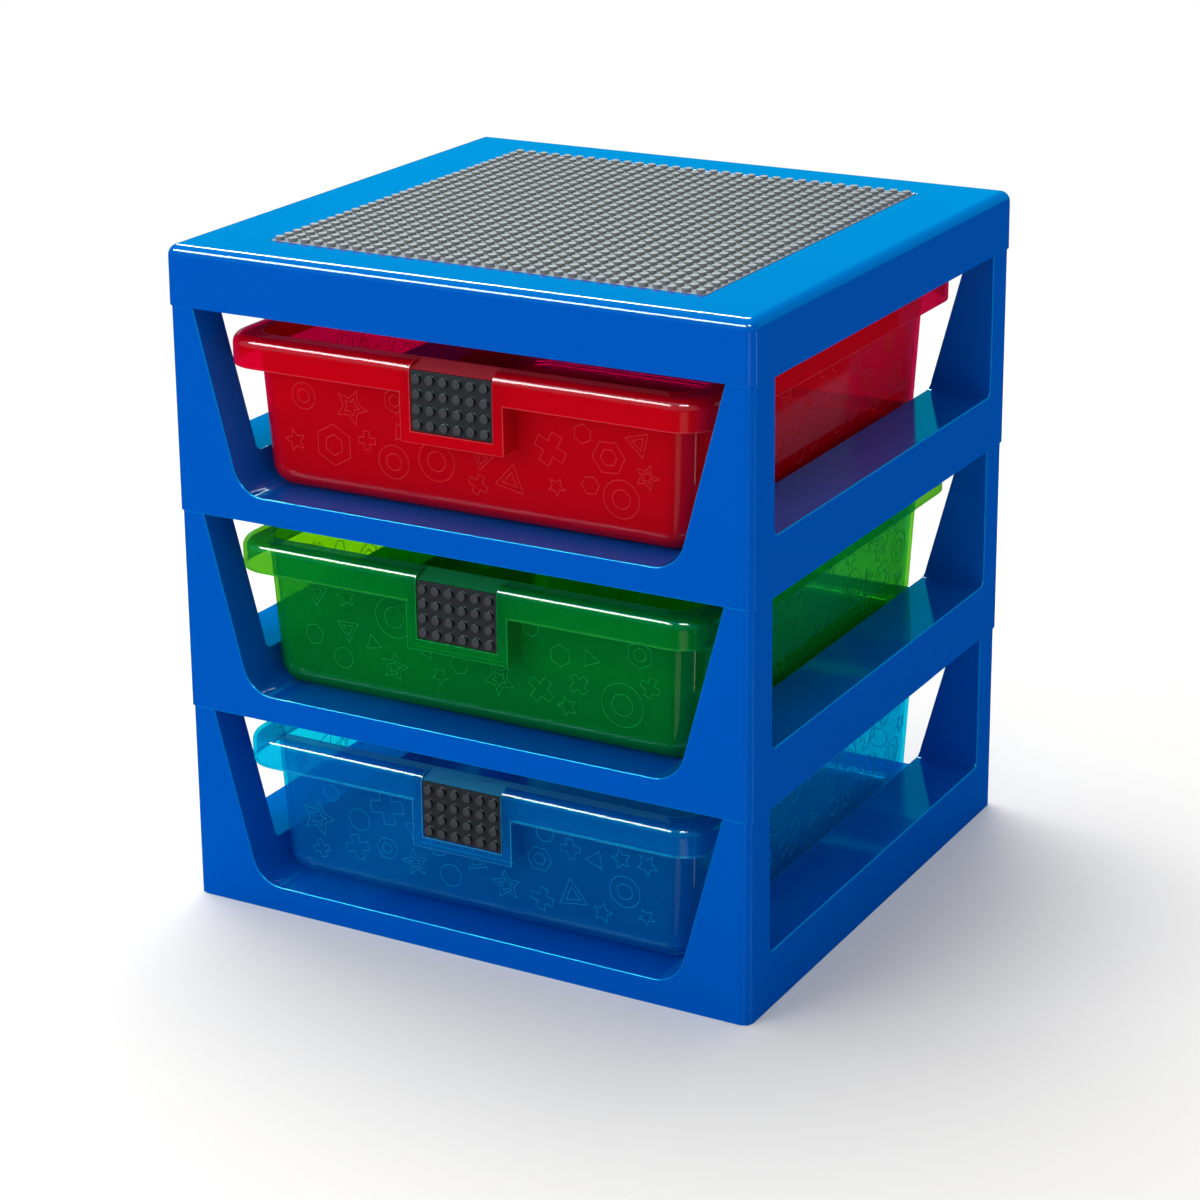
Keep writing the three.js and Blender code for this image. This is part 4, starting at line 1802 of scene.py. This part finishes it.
@dataclass
class Studio:
    """The pale floor, the soft light and the camera, with their places in metres.

    Args:
        floor_half: Half of the floor's side.
        floor_colour: Its colour.
        floor_cloud: Waves of its shading in a metre.
        floor_shade: How much of its colour is left at its darkest.
        camera_place: Where the camera stands.
        camera_yaw: Its turn round Z.
        camera_pitch: How far it looks down.
        camera_roll: Its turn round its own line of sight.
        lens: Its focal length in millimetres.
        sensor: Width of its sensor in millimetres.
        seen_white: How bright the room and the faded floor are to the camera.
        ambient: How bright the room is apart from gloss and the camera.
        fade_start: How far from the middle the floor starts to fade to white.
        fade_end: How far from the middle it has faded.
        gloss_glow: Heights from -1, straight down, to 1, with the room's colours in gloss.
        panel_low: Height of the low panels' lower edge, on the same scale.
        panel_high: Height of their upper edge.
        panels: The low panels.
        boxes: The lamps.
        clear_layers: How many see-through skins a ray may pass.
    """

    floor_half: float = 30.0
    floor_colour: Colour = (0.975, 0.962, 0.935, 1.0)
    floor_cloud: float = 2.0
    floor_shade: float = 0.99
    camera_place: Point = (0.7911, -1.4191, 0.7409)
    camera_yaw: float = math.radians(29.24)
    camera_pitch: float = math.radians(19.94)
    camera_roll: float = math.radians(-0.50)
    lens: float = 92.06
    sensor: float = 36.0
    seen_white: float = 1.0
    ambient: float = 0.52
    fade_start: float = 0.3
    fade_end: float = 1.5
    gloss_glow: tuple[tuple[float, Colour], ...] = (
        (-1.0, (0.0, 0.012, 0.03, 1.0)),
        (0.0, (0.0, 0.012, 0.03, 1.0)),
        (0.14, (0.0, 0.72, 0.86, 1.0)),
        (0.45, (0.0, 0.7, 0.82, 1.0)),
        (0.7, (0.0, 0.6, 0.75, 1.0)),
        (0.82, (0.0, 1.8, 2.2, 1.0)),
    )
    panel_low: float = -0.6
    panel_high: float = -0.1
    panels: tuple[LowPanel, ...] = (
        LowPanel(math.radians(-65), math.radians(14), 0.55),
        LowPanel(math.radians(5), math.radians(3), 2.5),
    )
    boxes: tuple[Softbox, ...] = (
        Softbox("key", (-0.95, 0.85, 2.7), RACK_MIDDLE, (2.4, 2.4), 3.75, Reach.COLOUR),
        Softbox("front_fill", (-1.3, -2.1, 1.2), RACK_MIDDLE, (1.8, 1.2), 3.2, Reach.COLOUR),
        Softbox("top_strip", (-0.97, 1.21, 1.6), FRONT_EDGES, (1.2, 0.42), STRIP_GLOW, Reach.HIGHLIGHTS),
        Softbox("front_strip", (-0.8, -1.21, 1.49), FRONT_EDGES, (1.2, 0.38), STRIP_GLOW, Reach.HIGHLIGHTS),
        Softbox("corner_box", (0.465, -0.86, 1.32), NEAR_CORNER, (0.45, 0.3), STRIP_GLOW, Reach.HIGHLIGHTS),
    )
    clear_layers: int = 32

    def set_camera(self) -> None:
        """Puts the camera at the photograph's angle."""
        data = bpy.data.cameras.new("camera")
        data.lens = self.lens
        data.sensor_width = self.sensor
        camera = bpy.data.objects.new("camera", data)
        yaw = Matrix.Rotation(self.camera_yaw, 4, "Z")
        pitch = Matrix.Rotation(math.pi / 2 - self.camera_pitch, 4, "X")
        roll = Matrix.Rotation(self.camera_roll, 4, "Z")
        camera.matrix_world = Matrix.Translation(self.camera_place) @ yaw @ pitch @ roll
        bpy.context.scene.collection.objects.link(camera)
        bpy.context.scene.camera = camera

    def set_floor(self) -> None:
        """Lays the pale floor, which fades to plain white away from the rack."""
        half = self.floor_half
        mesh = bpy.data.meshes.new("studio_floor")
        corners = [(-half, -half, 0), (half, -half, 0), (half, half, 0), (-half, half, 0)]
        mesh.from_pydata(corners, [], [(0, 1, 2, 3)])
        floor = bpy.data.objects.new("studio_floor", mesh)
        material = bpy.data.materials.new("studio_floor")
        pad = NodePad(material)
        darker = shaded(self.floor_colour, self.floor_shade)
        shade = pad.blend(pad.noise(self.floor_cloud), self.floor_colour, darker)
        matt = pad.add("ShaderNodeBsdfDiffuse", Color=shade).outputs["BSDF"]
        place = pad.add("ShaderNodeTexCoord").outputs["Object"]
        length = pad.tree.nodes.new("ShaderNodeVectorMath")
        length.operation = "LENGTH"
        pad.tree.links.new(place, length.inputs[0])
        far = pad.edge(length.outputs["Value"], self.fade_start, self.fade_end)
        white = pad.add("ShaderNodeEmission", Strength=self.seen_white).outputs["Emission"]
        pad.output(pad.layer(far, matt, white))
        mesh.materials.append(material)
        bpy.context.scene.collection.objects.link(floor)
        floor.visible_glossy = False

    def panel_share(self, pad: NodePad, panel: LowPanel, way: bpy.types.ShaderNode) -> bpy.types.NodeSocket:
        """Says how much of a low panel a direction sees.

        Args:
            pad: The world's nodes.
            panel: The panel.
            way: The node that splits the direction.

        Returns:
            The share, from 0 to 1.
        """
        bearing = pad.math("ARCTAN2", way.outputs["Y"], way.outputs["X"])
        off = pad.math("ABSOLUTE", pad.math("SUBTRACT", bearing, panel.bearing))
        across = pad.edge(off, panel.half_width, panel.half_width / 2)
        middle = (self.panel_low + self.panel_high) / 2
        reach = (self.panel_high - self.panel_low) / 2
        height = pad.math("ABSOLUTE", pad.math("SUBTRACT", way.outputs["Z"], middle))
        return pad.math("MULTIPLY", across, pad.edge(height, reach, reach / 2))

    def gloss_room(self, pad: NodePad) -> bpy.types.NodeSocket:
        """Draws the room that the gloss mirrors: dark blue below, cyan above, and the low panels.

        Args:
            pad: The world's nodes.

        Returns:
            Its colour.
        """
        place = pad.add("ShaderNodeTexCoord").outputs["Generated"]
        way = pad.add("ShaderNodeSeparateXYZ", Vector=place)
        share = pad.add("ShaderNodeMapRange", Value=way.outputs["Z"], From_Min=-1.0)
        ramp = pad.add("ShaderNodeValToRGB", Fac=share.outputs["Result"])
        steps = ramp.color_ramp.elements
        steps.remove(steps[1])
        steps[0].position = 0.0
        steps[0].color = self.gloss_glow[0][1]
        for height, colour in self.gloss_glow[1:]:
            steps.new((height + 1) / 2).color = colour
        room = ramp.outputs["Color"]
        for panel in self.panels:
            bright = (panel.glow, panel.glow, panel.glow, 1.0)
            room = pad.blend(self.panel_share(pad, panel, way), room, bright)
        return room

    def set_world(self) -> None:
        """Makes the room white to the camera, grey to matt surfaces, and dark blue and cyan in gloss."""
        world = bpy.data.worlds.new("studio_room")
        pad = NodePad(world)
        path = pad.add("ShaderNodeLightPath")
        ambient = (self.ambient, self.ambient, self.ambient, 1.0)
        white = (self.seen_white, self.seen_white, self.seen_white, 1.0)
        lit = pad.blend(path.outputs["Is Glossy Ray"], ambient, self.gloss_room(pad))
        seen = pad.blend(path.outputs["Is Camera Ray"], lit, white)
        room = pad.add("ShaderNodeBackground", Color=seen)
        out = pad.tree.nodes.new("ShaderNodeOutputWorld")
        pad.tree.links.new(room.outputs["Background"], out.inputs["Surface"])
        bpy.context.scene.world = world

    def set_light(self) -> None:
        """Hangs the softboxes."""
        for box in self.boxes:
            box.hang()

    def build(self) -> None:
        """Sets up the whole studio."""
        self.set_camera()
        self.set_floor()
        self.set_world()
        self.set_light()
        bpy.context.scene.view_settings.view_transform = "Standard"
        bpy.context.scene.cycles.transparent_max_bounces = self.clear_layers
        log.info("studio ready")


@dataclass
class Rack:
    """The whole rack: three frames, their drawers and pads, the table top and its stud plate."""

    width: float
    depth: float

    def build(self) -> None:
        """Builds the pieces from the floor up."""
        tier = TierFrame(self.width, self.depth)
        drawer = Drawer()
        frame_mesh = tier.mesh()
        drawer_mesh = drawer.mesh()
        pad_mesh = drawer.pad_mesh()
        for level, colour in enumerate(DRAWER_COLOURS):
            rise = level * tier.height
            place = colour.place
            body = f"{place}_drawer_body"
            dress = [FRAME_BLUE, FRAME_EDGE_PAINTED_HIGHLIGHT]
            frame_piece = show(lifted(frame_mesh, rise), f"{place}_frame", dress, "rack")
            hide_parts(f"{place}_tier")
            tray = show(lifted(drawer_mesh, rise), f"{place}_tray", colour.tray_finishes(), body)
            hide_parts(f"{place}_drawer")
            dress = [PAD_BLACK, PAD_STUD_WALL_PAINTED_SHADE, PAD_STUD_TOP_PAINTED_LIGHT]
            pad = show(lifted(pad_mesh, rise), f"{place}_pad", dress, body)
            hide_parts(f"{place}_grip_pad")
            outlines = lifted(Relief(drawer, level + 1).mesh(), rise)
            show(outlines, f"{place}_relief", [colour.relief_finish()], body)
        self.build_crown(len(DRAWER_COLOURS) * tier.height)

    def build_crown(self, rise: float) -> None:
        """Builds the table top and its stud plate.

        Args:
            rise: Height of the table top's rim.
        """
        cover = TableTop(self.width, self.depth)
        cover_piece = show(lifted(cover.mesh(), rise), "cover", [LID_BLUE], "rack")
        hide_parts("tabletop")
        studs = StudField(cover.plate_studs, cover.plate_studs)
        plate_mesh = studs.solid().finish("stud_plate")
        face = studs.thickness + studs.stud_foot / 2
        # The flat face between the studs takes the darker grey, a painted shade
        mark(plate_mesh, SECOND_FINISH, lambda middle, normal, width: middle.z < face)
        plate_rise = rise + cover.height - cover.plate_thickness
        dress = [PLATE_GREY, PLATE_PAINTED_SHADE]
        plate = show(lifted(plate_mesh, plate_rise), "studded_plate", dress, "rack")
        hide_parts("stud_plate")


def main() -> None:
    """Builds the studio and the rack."""
    logging.basicConfig(level=logging.INFO, format="%(message)s")
    Studio().build()
    low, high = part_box("bottom_tier")
    Rack((high.x - low.x) / MM, (high.y - low.y) / MM).build()


if __name__ == "__main__":
    main()
